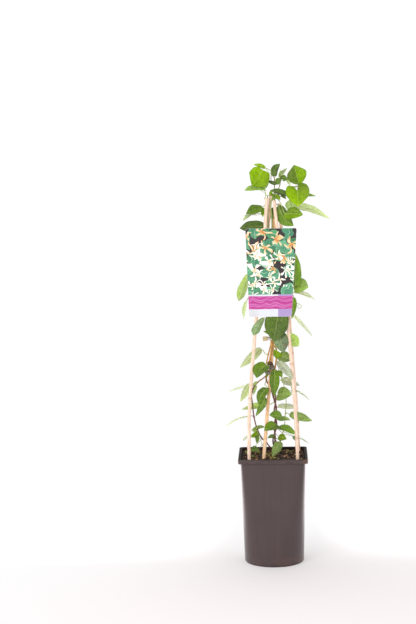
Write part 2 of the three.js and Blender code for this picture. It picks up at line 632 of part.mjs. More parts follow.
add("pot", potGeometry(), potPlastic);
add("soil", soilGeometry(standing), peat);
for (const [name, curve] of Object.entries(caneCurves)) {
  add(name, rod(curve, CANE_RADIUS, CANE_SIDES, CANE_STEP), bamboo);
}
add("stake", rod(stakeCurve, STAKE_RADIUS, CANE_SIDES, CANE_STEP / 2), stakeWood);
for (const [name, curve] of Object.entries(stemCurves)) {
  const material = name.startsWith("stem") ? bark : youngBark;
  add(name, rod(curve, stemRadii[name], STEM_SIDES, STEM_STEP), material);
}
for (const [name, spec] of Object.entries(LEAVES)) {
  add(name, leafGeometry(spec), leafGreen);
}

const label = add("label", labelGeometry(), printedCard);
label.position.set(...LABEL_FOOT);
label.rotation.x = radians(90 - LABEL_LEAN);

const upperTie = add("tie_upper", tabbedBandGeometry(), beigePlastic);
upperTie.position.copy(atHeight(stakeCurve, UPPER_TIE_HEIGHT).point);
const lowerTie = add("tie_lower", bandGeometry(), greyPlastic);
lowerTie.position.copy(atHeight(stakeCurve, LOWER_TIE_HEIGHT).point);

export default plant;
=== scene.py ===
"""A young honeysuckle in a tall nursery pot, trained up a teepee of canes: the looks, built round the frame.

Lengths are written in millimetres, as they would be measured, and MM turns them into metres.
+Z is up, -Y is the front where the label leans, and +X is to the right of the front.
"""

import math
import random

import bmesh
import bpy
import numpy as np
from mathutils import Matrix, Vector, noise
from mathutils.geometry import tessellate_polygon


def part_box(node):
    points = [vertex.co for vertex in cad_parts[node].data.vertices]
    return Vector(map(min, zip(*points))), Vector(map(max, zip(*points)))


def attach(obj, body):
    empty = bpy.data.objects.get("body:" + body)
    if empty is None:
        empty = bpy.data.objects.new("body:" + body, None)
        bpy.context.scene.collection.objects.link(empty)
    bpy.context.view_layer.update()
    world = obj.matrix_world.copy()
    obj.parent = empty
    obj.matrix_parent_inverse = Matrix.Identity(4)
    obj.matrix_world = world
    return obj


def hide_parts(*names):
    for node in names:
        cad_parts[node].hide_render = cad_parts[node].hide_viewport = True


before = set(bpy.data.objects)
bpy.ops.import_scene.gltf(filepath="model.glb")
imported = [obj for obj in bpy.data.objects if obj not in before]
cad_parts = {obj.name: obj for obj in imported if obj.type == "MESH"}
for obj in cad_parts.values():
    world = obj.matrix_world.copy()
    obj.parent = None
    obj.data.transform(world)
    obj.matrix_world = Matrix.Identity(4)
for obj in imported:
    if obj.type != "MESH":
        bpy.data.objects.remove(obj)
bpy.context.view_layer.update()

MM = 0.001
ROOT = "root"

# ---- driving dimensions, in millimetres ----

POT_HEIGHT = 213.5
POT_BASE = 116.6  # across the round base
POT_TOP = 126.0  # across the square top, under the rim
POT_TOP_CORNER = 10.0
POT_WALL = 1.6
POT_FLOOR = 2.4
POT_HEEL = 1.5
RIM_SIDE = 135.6
RIM_CORNER = 8.0
RIM_SKIRT = 8.0
RIM_EDGE = 1.4  # how wide the rim's softened outer edge is; all that lies inside it is painted darker, for wet peat's stain and for the shade inside the pot
SPLASH_TOP = 22.0  # how high up the foot the dried splashes of peat reach
HEEL_DARKENING = 5.0  # and how high the heel grows darker towards its bottom edge
CLOT_FROM, CLOT_FULL = 14.0, 7.0  # from the front right corner of the rim, where splashes have clotted
DRAIN_RADIUS = 5.0
DRAIN_REACH = 34.0
DRAIN_SIDES = 20
SOIL_TOP = 208.0
SOIL_CROWN = 2.0
SOIL_GAP = 0.5  # between the soil and the wall
SOIL_INSET = POT_WALL + SOIL_GAP

LEAF_THICKNESS = 0.3
VEIN_SPACING = 6.5  # between two side veins, along the midrib
VEIN_SHIFT = 0.4  # how far the right side's veins start behind the left side's, as a share of the spacing
VEIN_WIDTH = 0.9  # from the middle of a side vein to where it has faded
MIDRIB_WIDTH = 1.1
NET_SIZE = 2.4  # the real net is finer, and it is drawn as coarse as it needs to show
VEIN_SLANT = 0.95  # how far a side vein runs forward for each millimetre outwards
VEIN_ARCH = 0.018  # and how much more it bends towards the tip, per square millimetre
QUILT_HEIGHT = 0.2  # how high the blade swells between its veins
RIB_DEPTH = 0.35  # how deep the groove over the midrib is
RIB_WIDTH = 0.9
DOME = 0.07  # how high each half of the blade arches, as a share of its width
MARGIN_CURL = 0.05  # how far the margin rolls down, as the same share
MARGIN_WAVE = 0.05  # how high its waves are, as a share of the widest half
WAVE_RUN = 4.2  # along the blade, for each radian of a wave
STALK_RADIUS = 0.75
SMALL_STALK_RADIUS = 0.5
SMALL_FOLD = 16  # degrees that each half of a small leaf is folded up
SMALL_PEAK = 0.42  # where a small leaf is widest, as a share of its length

LABEL_STRIP = 14.6  # heights up the label where one printed area ends and the next starts
LABEL_BAND = 39.8
LABEL_PICTURE = 42.8
LILAC_EDGE = 15.0  # the lilac starts this far right of the middle
LABEL_CANE = 27.5  # and a cane's shadow, seen through the card, is painted from this far left of it
LABEL_BEVEL = 0.12
LABEL_ROWS = 14
PRINT_SPAN = 200.0  # the printed map's unit, in millimetres

TIE_WIDTH = 5.0  # of the tie whose tab is wider than it
TIE_THICKNESS = 1.0
TIE_SOFT = 0.28  # the softening of its edges
TIE_TURNS = 64
TAB_HALF = 0.45  # half the tab's thickness
TAB_CELLS = 6

BLADE_SPAN = 100.0  # the blade's own map's unit, in millimetres
# The CAD leaf has a ring at each of these shares of the way from its base to its tip.
BLADE_STATIONS = [0.03, 0.12, 0.27, 0.46, 0.66, 0.85, 1.0]

# ---- colours and nodes ----

BLEND = {"kind": "Mix", "data_type": "RGBA", "out": 2}  # socket 0 is the share of socket 7 over socket 6


def ink(code):
    """A colour written as sRGB hex, in linear light."""
    parts = [int(code[i:i + 2], 16) / 255 for i in (0, 2, 4)]
    return (*[c / 12.92 if c < 0.04045 else ((c + 0.055) / 1.055) ** 2.4 for c in parts], 1.0)


def node(tree, kind, *feeds, named=None, out=0, stops=(), **settings):
    """Adds a node and gives one of its outputs. feeds go to its sockets in order, and named ones by name
    or number: each is a value or another node's output. stops are a ramp's places and inks."""
    made = tree.nodes.new("ShaderNode" + kind)
    for key, value in settings.items():
        setattr(made, key, value)
    for key, value in [*enumerate(feeds), *(named or {}).items()]:
        if isinstance(value, bpy.types.NodeSocket):
            tree.links.new(value, made.inputs[key])
        else:
            made.inputs[key].default_value = value
    for i, (place, code) in enumerate(stops):
        ramp = made.color_ramp.elements
        element = ramp[i] if i < len(ramp) else ramp.new(place)
        element.position, element.color = place, ink(code)
    return made.outputs[out] if made.outputs else made


def new_material(name, **values):
    """A material's node tree and its Principled shader, with the shader's own values set."""
    material = bpy.data.materials.new(name)
    material.use_nodes = True
    tree = material.node_tree
    tree.nodes.clear()
    shader = tree.nodes.new("ShaderNodeBsdfPrincipled")
    for key, value in values.items():
        shader.inputs[key.replace("_", " ")].default_value = value
    return material, tree, shader


def place_of(tree, stretch=(1, 1, 1)):
    """The point on the object in millimetres. A stretch under 1 makes a pattern run along that axis."""
    at = node(tree, "TexCoord", out="Object")
    return node(tree, "VectorMath", at, [share / MM for share in stretch], operation="MULTIPLY")


def grain_of(tree, size, stretch=(1, 1, 1), detail=3.0, roughness=0.55):
    """Noise with lumps about this many millimetres across."""
    return node(tree, "TexNoise", place_of(tree, stretch),
                named={"Scale": 1 / size, "Detail": detail, "Roughness": roughness})


def coated(tree, base, *coats):
    """Lays coats over a base colour. Each is a mask, the share that shows where the mask is full, and a
    colour, given as an ink's code or as another node's output."""
    for mask, share, over in coats:
        cover = node(tree, "Math", mask, share, operation="MULTIPLY")
        over = ink(over) if isinstance(over, str) else over
        base = node(tree, named={0: cover, 6: base, 7: over}, **BLEND)
    return base


def finished(material, tree, shader, base, height=None, depth=0.0, strength=1.0, through=None):
    """Joins a colour and a relief, depth millimetres high, to the shader. through is light that comes
    through from behind: its share and its colour."""
    tree.links.new(base, shader.inputs["Base Color"])
    surface = shader.outputs[0]
    if height is not None:
        normal = node(tree, "Bump", strength, depth * MM, named={"Height": height})
        tree.links.new(normal, shader.inputs["Normal"])
    if through:
        share, colour = through
        back = node(tree, "BsdfTranslucent", colour, normal)
        surface = node(tree, "MixShader", share, surface, back)
    node(tree, "OutputMaterial", surface)
    return material


# ---- materials ----


def moulded_polypropylene():
    """Nursery pot plastic, thermoformed from a recycled sheet: a dull taupe with a soft sheen that turns
    bright at a glance, faint upright flow marks, and scuffs. Dried splashes of peat cling to the rim and
    the foot, and the heel grows darker towards its bottom edge."""
    material, tree, shader = new_material("moulded_polypropylene", IOR=1.49)
    flow = grain_of(tree, 8.0, (1, 1, 0.05), 2.0)
    blotch = grain_of(tree, 50.0, detail=2.0)
    speck = grain_of(tree, 2.2, detail=2.0)
    smear = grain_of(tree, 9.0, (0.5, 0.5, 1), 4.0, 0.6)
    base = node(tree, named={0: flow, 6: ink("433535"), 7: ink("4f4040")}, **BLEND)
    across, depth, height = node(tree, "SeparateXYZ", place_of(tree)).node.outputs
    skirt = POT_HEIGHT - RIM_SKIRT
    band = node(tree, "MapRange", height, skirt, skirt + 1)
    foot = node(tree, "MapRange", height, SPLASH_TOP, 2.0)
    # The heel grows darker towards its bottom edge.
    heel = node(tree, "MapRange", height, HEEL_DARKENING, 1.0)
    splashed = node(tree, "Math", band, foot, operation="ADD")
    drops = node(tree, "MapRange", smear, 0.5, 0.6)
    splashes = node(tree, "Math", splashed, drops, operation="MULTIPLY")
    film = node(tree, "MapRange", blotch, 0.42, 0.58)
    dusty = node(tree, "Math", foot, film, operation="MULTIPLY")
    diagonal = node(tree, "Math", across, depth, operation="SUBTRACT")
    corner = node(tree, "MapRange", diagonal, RIM_SIDE - CLOT_FROM, RIM_SIDE - CLOT_FULL)
    cornered = node(tree, "Math", corner, band, operation="MULTIPLY")
    clotted = node(tree, "MapRange", speck, 0.42, 0.54)
    clots = node(tree, "Math", cornered, clotted, operation="MULTIPLY")
    base = coated(tree, base, (blotch, 0.6, "3e302e"), (splashes, 0.55, "2f241e"), (dusty, 0.3, "6e5242"),
                  (heel, 0.6, "2a1c16"), (clots, 0.7, "6e4a34"))
    gloss = node(tree, "MapRange", smear, 0.3, 0.7, 0.17, 0.25)
    tree.links.new(gloss, shader.inputs["Roughness"])
    return finished(material, tree, shader, base, grain_of(tree, 0.7, detail=2.0), 0.05, 0.5)


def peat_stained_shaded_polypropylene():
    """The pot's plastic inside the rim's outer edge, under a film of dried peat that also stands for painted
    shade inside the pot: matt and brown-black, and thinner in specks."""
    material, tree, shader = new_material("peat_stained_shaded_polypropylene", IOR=1.49, Specular_IOR_Level=0.12)
    speck = grain_of(tree, 2.2, detail=2.0)
    # Painted shade: the dark film stands both for dried peat and for the shade that falls inside the pot.
    film = node(tree, "MapRange", speck, 0.35, 0.6, 0.75, 1.0)
    base = coated(tree, ink("493a3a"), (film, 1.0, "211812"))
    matt = node(tree, "MapRange", film, 0.75, 1.0, 0.65, 0.75)
    tree.links.new(matt, shader.inputs["Roughness"])
    return finished(material, tree, shader, base, grain_of(tree, 0.7, detail=2.0), 0.05, 0.5)


def potting_peat():
    """Moist sphagnum peat: painted almost black in its hollows as shade, and warm brown on its dry crumbs."""
    material, tree, shader = new_material("potting_peat", Roughness=0.92)
    coarse = grain_of(tree, 6.2, detail=4.0, roughness=0.65)
    fine = grain_of(tree, 1.1, detail=3.0, roughness=0.6)
    both = node(tree, "Mix", 0.4, named={2: coarse, 3: fine})
    # The same lumps give the relief and the colour, so the hollows are painted near black: painted shade.
    base = node(tree, "ValToRGB", both,
                stops=[(0.38, "0f0906"), (0.5, "2c1c12"), (0.59, "5c3d28"), (0.67, "a67c58")])
    return finished(material, tree, shader, base, both, 1.2, 0.9)


def bark_chip():
    """Composted bark and fibre: dry, tan to reddish brown splinters with a lengthwise grain."""
    material, tree, shader = new_material("bark_chip", Roughness=0.88)
    tone = grain_of(tree, 8.3, detail=2.0)
    grain = grain_of(tree, 0.9)
    base = node(tree, "ValToRGB", tone,
                stops=[(0.35, "6b4228"), (0.46, "b07e54"), (0.57, "e0b890"), (0.7, "c89850")])
    base = coated(tree, base, (grain, 0.3, "2c1c12"))
    return finished(material, tree, shader, base, grain, 0.4, 0.8)


def soil_moss():
    """Young moss on the peat: matt tufts from olive to a yellowish green."""
    material, tree, shader = new_material("soil_moss", Roughness=0.95)
    base = node(tree, "ValToRGB", grain_of(tree, 2.0),
                stops=[(0.35, "4a5216"), (0.5, "78802a"), (0.65, "b3ad52")])
    return finished(material, tree, shader, base, grain_of(tree, 0.6, detail=2.0), 0.6)


def bamboo_cane():
    """Dried bamboo with its skin on: pinkish straw, a satin skin, fine lengthwise fibres and a few
    darker streaks, and browner at each joint."""
    material, tree, shader = new_material("bamboo_cane", Roughness=0.42)
    fibre = grain_of(tree, 1.1, (1, 1, 0.013))
    patch = grain_of(tree, 55.0, detail=2.0)
    mark = node(tree, "MapRange", grain_of(tree, 3.0, (1, 1, 0.25)), 0.6, 0.72)
    joint = node(tree, "Attribute", attribute_name="joint", out="Fac")
    base = node(tree, "ValToRGB", fibre, stops=[(0.34, "d2a384"), (0.48, "efcfb6"), (0.64, "f9e5d6")])
    base = coated(tree, base, (patch, 0.5, "f1cbb4"), (mark, 0.4, "c08a68"), (joint, 0.5, "a97858"))
    return finished(material, tree, shader, base, fibre, 0.12, 0.6)


def split_stake():
    """A split, weathered stake: bare, pale tan wood with coarse grain, dark cracks and no skin."""
    material, tree, shader = new_material("split_stake", Roughness=0.7)
    fibre = grain_of(tree, 1.4, (1, 1, 0.03), 4.0, 0.65)
    blotch = grain_of(tree, 20.0)
    base = node(tree, "ValToRGB", fibre,
                stops=[(0.3, "96623c"), (0.41, "d8a672"), (0.52, "f0c79a"), (0.68, "fae2c4")])
    base = coated(tree, base, (blotch, 0.35, "e0ac78"))
    return finished(material, tree, shader, base, fibre, 0.35, 0.9)


def vine_bark():
    """A honeysuckle's thin bark. Low down it is reddish brown and flakes in strips, higher up it is
    ochre, and the youngest wood near the top is still green."""
    material, tree, shader = new_material("vine_bark", Roughness=0.6)
    fibre = grain_of(tree, 1.25, (1, 1, 0.06), 4.0, 0.6)
    height = node(tree, "SeparateXYZ", place_of(tree), out=2)
    level = node(tree, "Math", grain_of(tree, 33.0, detail=2.0), 90.0, height, operation="MULTIPLY_ADD")
    share = node(tree, "MapRange", level, 245.0, 845.0)
    aged = node(tree, "ValToRGB", share, stops=[
        (0.0, "743e36"), (0.24, "7c4a44"), (0.31, "c48a3c"), (0.41, "c29a48"), (0.5, "8c8444"),
        (0.72, "7a8a42"), (0.84, "9cad5c"), (0.93, "a88458"),
    ])
    cracks = node(tree, "MapRange", fibre, 0.56, 0.15)
    pale = node(tree, "MapRange", fibre, 0.58, 0.83)
    base = coated(tree, aged, (cracks, 0.45, "3c221c"), (pale, 0.4, "c4a882"))
    return finished(material, tree, shader, base, fibre, 0.35, 0.8)


def green_shoot():
    """A soft young shoot or leaf stalk: smooth green skin, flushed with red on one side."""
    material, tree, shader = new_material("green_shoot", Roughness=0.5)
    base = node(tree, "ValToRGB", grain_of(tree, 16.0, detail=2.0),
                stops=[(0.36, "8a5f40"), (0.46, "98a650"), (0.6, "b4c66e")])
    return finished(material, tree, shader, base, grain_of(tree, 0.8, (1, 1, 0.2)), 0.1, 0.5)


def leaf_masks(tree):
    """Four masks from the blade's own map: the midrib, the arching side veins, the painted shade in the
    hollow beside each of them, and the fine net between them."""
    uv = node(tree, "UVMap", uv_map="blade")
    parts = node(tree, "SeparateXYZ", uv).node.outputs
    along = node(tree, "Math", parts[0], BLADE_SPAN, operation="MULTIPLY")
    side = node(tree, "Math", parts[1], BLADE_SPAN, -BLADE_SPAN / 2, operation="MULTIPLY_ADD")
    out = node(tree, "Math", side, operation="ABSOLUTE")
    arch = node(tree, "Math", out, VEIN_ARCH, VEIN_SLANT, operation="MULTIPLY_ADD")
    back = node(tree, "Math", out, arch, operation="MULTIPLY")
    start = node(tree, "Math", along, back, operation="SUBTRACT")
    right = node(tree, "Math", side, 0.0, operation="GREATER_THAN")
    shifted = node(tree, "Math", right, VEIN_SPACING * VEIN_SHIFT, start, operation="MULTIPLY_ADD")
    count = node(tree, "Math", shifted, VEIN_SPACING, operation="DIVIDE")
    turn = node(tree, "Math", count, operation="FRACT")
    beside = node(tree, "Math", turn, 0.5, operation="SUBTRACT")
    beside = node(tree, "Math", beside, operation="ABSOLUTE")
    vein = node(tree, "MapRange", beside, 0.0, VEIN_WIDTH / VEIN_SPACING, 1.0, 0.0)
    # Painted shade: the hollow on one side of each vein is darkened as if its relief were lit from the side.
    hollow = node(tree, "MapRange", turn, 0.55, 0.95, 1.0, 0.0)
    above = node(tree, "Math", turn, 0.5, operation="GREATER_THAN")
    hollow = node(tree, "Math", hollow, above, operation="MULTIPLY")
    midrib = node(tree, "MapRange", out, 0.0, MIDRIB_WIDTH, 1.0, 0.0)
    cells = node(tree, "TexVoronoi", uv, named={"Scale": BLADE_SPAN / NET_SIZE}, feature="DISTANCE_TO_EDGE")
    net = node(tree, "MapRange", cells, 0.0, 0.11, 1.0, 0.0)
    return midrib, vein, hollow, net


def honeysuckle_leaf(name, flesh, flush, shade, veins, glow, gloss, relief):
    """One side of a honeysuckle leaf. Its waxy skin gives a soft, uneven gloss, light comes through the
    blade and the veins are paler than the flesh. Painted shade darkens the hollow beside each vein and the
    rolled margin. flush and shade are the tones that drift and mottle over it. Where a leaf's tone, which
    also paints in how the light falls on it, is lighter, its colour is fuller too."""
    material, tree, shader = new_material(name, Specular_IOR_Level=0.3)
    midrib, vein, hollow, net = leaf_masks(tree)
    drift = node(tree, "MapRange", grain_of(tree, 18.0), 0.38, 0.62)
    mottle = node(tree, "MapRange", grain_of(tree, 4.5, detail=2.0), 0.42, 0.66)
    # Painted shade: the margin is darkened as if it curled down into shade.
    margin = node(tree, "Attribute", attribute_name="margin", out="Fac")
    spot = node(tree, "Attribute", attribute_name="spot", out="Fac")
    tone = node(tree, "Attribute", attribute_name="tone", out="Fac")
    base = node(tree, named={0: drift, 6: ink(flesh), 7: ink(flush)}, **BLEND)
    base = coated(tree, base, (mottle, 0.65, shade), (hollow, 0.45, shade), (margin, 0.5, shade),
                  (net, 0.16, veins), (vein, 0.5, veins), (midrib, 0.75, veins))
    # tone is partly painted light: lighter or darker as the light falls on the leaf, and fuller in colour
    # where lighter.
    fullness = node(tree, "Math", tone, 0.35, 0.65, operation="MULTIPLY_ADD")
    base = node(tree, "HueSaturation", 0.5, fullness, tone, 1.0, base)
    base = coated(tree, base, (spot, 1.0, "9a4a24"))
    lit = node(tree, "HueSaturation", 0.485, 1.15, 1.3, 1.0, base)
    waxy = node(tree, "MapRange", grain_of(tree, 9.0, detail=2.0), 0.35, 0.65, gloss - 0.08, gloss + 0.12)
    tree.links.new(waxy, shader.inputs["Roughness"])
    meshes = node(tree, "Math", net, -1.0, operation="MULTIPLY")
    height = node(tree, "Math", vein, -2.0, meshes, operation="MULTIPLY_ADD")
    return finished(material, tree, shader, base, height, relief, 0.7, (glow, lit))


def soft_polythene(name, colour, second):
    """A soft polythene tie, cut from a sheet: semi-matt and a little scuffed. The withered bud scales that
    are caught in a tie have the same dull skin."""
    material, tree, shader = new_material(name, Roughness=0.5)
    base = coated(tree, ink(colour), (grain_of(tree, 3.3), 1.0, second))
    return finished(material, tree, shader, base, grain_of(tree, 0.8), 0.1, 0.5)


# ---- reading the frame ----

WELD = 0.01 * MM  # two corners of a CAD node this near are one
DOUBLED = 0.002 * MM  # and so are two corners of a piece


def corners_and_faces(name):
    """A CAD node's corners, with doubles merged, and its triangles."""
    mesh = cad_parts[name].data
    mesh.calc_loop_triangles()
    points = np.array([v.co[:] for v in mesh.vertices])
    triangles = np.array([t.vertices[:] for t in mesh.loop_triangles])
    _, first, back = np.unique(np.round(points / WELD).astype(int), axis=0, return_index=True,
                               return_inverse=True)
    return points[first], back.reshape(-1)[triangles]


def neighbours(points, triangles):
    """For each corner, the corners that share an edge with it."""
    near = [set() for _ in points]
    for a, b, c in triangles.tolist():
        near[a].update((b, c))
        near[b].update((a, c))
        near[c].update((a, b))
    return near


def layers(near, start):
    """Sets of corners, each one step further from the first set."""
    seen, found = set(start), [set(start)]
    while True:
        following = {n for v in found[-1] for n in near[v]} - seen
        if not following:
            return found
        seen |= following
        found.append(following)


def rod_line(name, sides):
    """The middle of each ring of a rod, from its lower end up, in metres, and the rod's radius."""
    points, triangles = corners_and_faces(name)
    lowest = points[points[:, 2].argmin()]
    cap = np.linalg.norm(points - lowest, axis=1).argsort()[:sides]
    rings = layers(neighbours(points, triangles), cap.tolist())
    line = np.array([points[sorted(ring)].mean(0) for ring in rings])
    return line, float(np.linalg.norm(points[cap] - line[0], axis=1).mean())


def leaf_rings(name):
    """A leaf's rings from the foot of its stalk to its tip, each with its four corners in this order:
    one edge, the middle of the upper side, the other edge, the middle of the lower side."""
    points, triangles = corners_and_faces(name)
    near = neighbours(points, triangles)
    ends = {v for v, around in enumerate(near) if len(around) < 6}
    inside = [near[v] & ends if v in ends else set() for v in range(len(points))]
    one_end = set().union(*layers(inside, [min(ends)]))
    span = {frozenset(cap): np.ptp(points[sorted(cap)], axis=0).max() for cap in (one_end, ends - one_end)}
    foot = max(span, key=span.get)
    found = layers(near, foot)
    middle = points[sorted(foot)].mean(0)
    ahead = points[sorted(found[1])].mean(0) - middle
    first, third = [v for v in foot if len(near[v]) == 5]
    second, fourth = foot - {first, third}
    if np.cross(points[first] - middle, points[second] - middle) @ ahead < 0:
        second, fourth = fourth, second
    ring = [first, second, third, fourth]
    rings = [ring]
    for layer in found[1:]:
        onward = [near[v] & layer for v in ring]
        ring = [(onward[i] & onward[i - 1]).pop() for i in range(4)]
        rings.append(ring)
    shape = points[np.array(rings)]
    widest = np.linalg.norm(shape[:, 0] - shape[:, 2], axis=1).argmax()
    edge_a, upper, edge_b, lower = shape[widest]
    if (edge_a + edge_b - upper - lower) @ (upper - lower) < 0:
        shape = shape[:, [2, 3, 0, 1]]
    return shape


# ---- curves and meshes ----


def unit(v):
    """Arrows of length 1 along these."""
    return v / np.maximum(np.linalg.norm(v, axis=-1, keepdims=True), 1e-12)


def through(knots, values, wanted):
    """A smooth curve through the values at the knots, read at the wanted places."""
    knots, values, wanted = np.asarray(knots, float), np.asarray(values, float), np.asarray(wanted, float)
    steps = np.diff(knots)
    slopes = np.diff(values, axis=0) / steps.reshape(-1, *[1] * (values.ndim - 1))
    shape = (-1, *[1] * (values.ndim - 1))
    before, after = steps[:-1].reshape(shape), steps[1:].reshape(shape)
    mid = (slopes[:-1] * after + slopes[1:] * before) / (before + after)
    tangents = np.concatenate([slopes[:1], mid, slopes[-1:]])
    index = np.clip(np.searchsorted(knots, wanted, side="right") - 1, 0, len(steps) - 1)
    length = steps[index]
    t = (wanted - knots[index]) / length
    t, length = t.reshape(shape), length.reshape(shape)
    return (
        values[index] * (2 * t ** 3 - 3 * t ** 2 + 1) + tangents[index] * length * (t ** 3 - 2 * t ** 2 + t)
        + values[index + 1] * (3 * t ** 2 - 2 * t ** 3) + tangents[index + 1] * length * (t ** 3 - t ** 2)
    )


def run_along(line):
    """How far along a line each of its points lies."""
    return np.concatenate([[0], np.cumsum(np.linalg.norm(np.diff(line, axis=0), axis=1))])


def swell(away, width):
    """A smooth bump: 1 in the middle, and faded about two widths away from it."""
    return np.exp(-(away / width) ** 2)


def resampled(line, step):
    """A smooth line through the points, with a point about every step millimetres."""
    run = run_along(line)
    count = max(3, int(run[-1] / (step * MM)) + 1)
    return through(run, line, np.linspace(0, run[-1], count))


def frames_along(line):
    """Two directions across the line at each point, carried along it without twist."""
    ahead = unit(np.gradient(line, axis=0))
    side = np.zeros_like(line)
    start = np.array([1.0, 0, 0]) if abs(ahead[0][0]) < 0.8 else np.array([0, 1.0, 0])
    for i, way in enumerate(ahead):
        start = start - way * (start @ way)
        start = start / np.linalg.norm(start)
        side[i] = start
    return side, np.cross(ahead, side)


class Soup:
    """Corners, faces and their material slots, gathered for one mesh."""

    def __init__(self):
        self.points, self.faces, self.slots, self.extras = [], [], [], {}
        self.count = 0

    def add(self, points, faces, slot=0, **extras):
        """Adds corners and the faces between them. extras are values at the corners, for the materials."""
        points = np.asarray(points, float).reshape(-1, 3)
        self.points.append(points)
        self.join([tuple(c + self.count for c in face) for face in faces], slot)
        for key, value in extras.items():
            self.extras.setdefault(key, []).append((self.count, np.broadcast_to(value, len(points))))
        self.count += len(points)
        return self

    def join(self, faces, slot=0):
        """Adds faces between corners that are there already."""
        self.faces += faces
        self.slots += [slot] * len(faces)

    def finish(self, name, materials, slot, stands_for=(), smooth=True):
        """Makes the piece. stands_for are the CAD nodes whose place it takes."""
        mesh = bpy.data.meshes.new(name)
        mesh.from_pydata(np.concatenate(self.points).tolist(), [], self.faces)
        for key, stretches in self.extras.items():
            values = np.zeros(self.count, np.float32)
            for start, value in stretches:
                values[start:start + len(value)] = value
            mesh.attributes.new(key, "FLOAT", "POINT").data.foreach_set("value", values)
        for material in materials:
            mesh.materials.append(material)
        mesh.polygons.foreach_set("material_index", self.slots)
        mesh.polygons.foreach_set("use_smooth", [smooth] * len(self.faces))
        mesh.validate()
        mesh.update()
        piece = bpy.data.objects.new(name, mesh)
        bpy.context.scene.collection.objects.link(piece)
        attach(piece, ROOT)
        if stands_for:
            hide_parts(*stands_for)
        return piece


def ring_faces(rows, columns, close=True, start=0):
    """Quads between rows of corners. close joins each row's last corner to its first."""
    faces = []
    for r in range(rows - 1):
        for c in range(columns if close else columns - 1):
            a, b = start + r * columns + c, start + r * columns + (c + 1) % columns
            faces.append((a, b, b + columns, a + columns))
    return faces


def end_faces(rows, columns, start=0):
    """The two faces that close such rows: one over the first row and one over the last."""
    last = start + (rows - 1) * columns
    return [tuple(reversed(range(start, start + columns))), tuple(range(last, last + columns))]


def turned_over(faces):
    """The same faces, looking the other way."""
    return [tuple(reversed(face)) for face in faces]


def mend(piece):
    """Joins the piece's doubled corners and turns all its faces outwards."""
    mended = bmesh.new()
    mended.from_mesh(piece.data)
    bmesh.ops.remove_doubles(mended, verts=mended.verts, dist=DOUBLED)
    bmesh.ops.recalc_face_normals(mended, faces=mended.faces)
    mended.to_mesh(piece.data)
    mended.free()


def tube(line, radii, sides):
    """A closed tube. radii holds one radius for each point, or one for each corner of each ring."""
    side, other = frames_along(line)
    angles = np.linspace(0, math.tau, sides, endpoint=False)
    radii = np.asarray(radii, float)
    radii = np.broadcast_to(radii.reshape(len(line), -1), (len(line), sides))
    across = side[:, None] * np.cos(angles)[None, :, None] + other[:, None] * np.sin(angles)[None, :, None]
    points = (line[:, None] + across * radii[..., None]).reshape(-1, 3)
    return points, ring_faces(len(line), sides) + end_faces(len(line), sides)


def ripple(points, scale, seed=0.0):
    """Smooth noise from -1 to 1 at each point; scale is the size of its lumps in millimetres."""
    shift = Vector((seed * 17.3, seed * 5.1, seed * 9.7))
    return np.array([noise.noise(Vector(p) / (scale * MM) + shift) for p in np.asarray(points)])


# ---- pot ----

CORNER_POINTS = 14
SIDE_POINTS = 8
CLEAN, STAINED_SHADED = 0, 1  # the pot's two material slots


def rounded_square(half, corner):
    """The outline of a square with rounded corners, as points in millimetres."""
    points = []
    for quarter in range(4):
        turn = math.radians(90 * quarter)
        cos, sin = round(math.cos(turn)), round(math.sin(turn))
        centre = half - corner
        arc = [(centre + corner * math.cos(a), centre + corner * math.sin(a))
               for a in np.radians(np.linspace(0, 90, CORNER_POINTS))]
        end = arc[-1]
        straight = [(end[0] - 2 * centre * i / SIDE_POINTS, end[1]) for i in range(1, SIDE_POINTS)]
        points += [(x * cos - y * sin, x * sin + y * cos) for x, y in arc + straight]
    return np.array(points)


def wall(z, inset=0.0):
    """The pot's wall at a height: round at the base, square at the rim."""
    share = z / POT_HEIGHT
    half = (POT_BASE + (POT_TOP - POT_BASE) * share) / 2 - inset
    corner = POT_BASE / 2 - 0.5 + (POT_TOP_CORNER - POT_BASE / 2 + 0.5) * share - inset
    return half, min(corner, half - 0.01), z


def rim(z, inset=0.0):
    """The rim's outline at a height."""
    return RIM_SIDE / 2 - inset, RIM_CORNER - inset, z


def stack(levels):
    """Rings of corners, in metres, one for each (half side, corner radius, height)."""
    outlines = [(rounded_square(half, corner), z) for half, corner, z in levels]
    return np.array([np.column_stack([outline, np.full(len(outline), z)]) for outline, z in outlines]) * MM


def pot_levels():
    """The levels from the heel up the outside, round the rim and down the inside to the floor, and which
    of them is the inner end of the rim's softened outer edge."""
    under = POT_HEIGHT - POT_WALL
    foot = POT_HEIGHT - RIM_SKIRT
    outside = [wall(0, POT_HEEL), wall(0.35, 0.9), wall(0.9, 0.45), wall(1.8, 0.15), wall(3.4, 0.0)]
    outside += [wall(z) for z in np.linspace(8, foot - 1.5, 26)]
    turned = [
        wall(under - 2.2), wall(under - 0.5, -0.25), wall(under, -1.0),
        rim(under, POT_WALL + 0.6), rim(under - 0.6, POT_WALL), rim(foot + 0.4, POT_WALL),
        rim(foot, POT_WALL - 0.35), rim(foot, 0.35), rim(foot + 0.4, 0.0),
        rim(foot + 3.2, 0.0), rim(foot + 5.6, 0.0), rim(POT_HEIGHT - 1.3, 0.0),
        rim(POT_HEIGHT - 0.5, 0.25), rim(POT_HEIGHT - 0.1, 0.75), rim(POT_HEIGHT, RIM_EDGE),
        wall(POT_HEIGHT, -1.2), wall(POT_HEIGHT - 0.1, POT_WALL - 0.5), wall(POT_HEIGHT - 0.7, POT_WALL),
    ]
    inside = [wall(z, POT_WALL) for z in np.linspace(POT_HEIGHT - 3, POT_FLOOR + 2.2, 20)]
    inside += [wall(POT_FLOOR + 0.5, POT_WALL + 0.6), wall(POT_FLOOR, POT_WALL + 2.0)]
    return outside + turned + inside, len(outside) + turned.index(rim(POT_HEIGHT, RIM_EDGE))


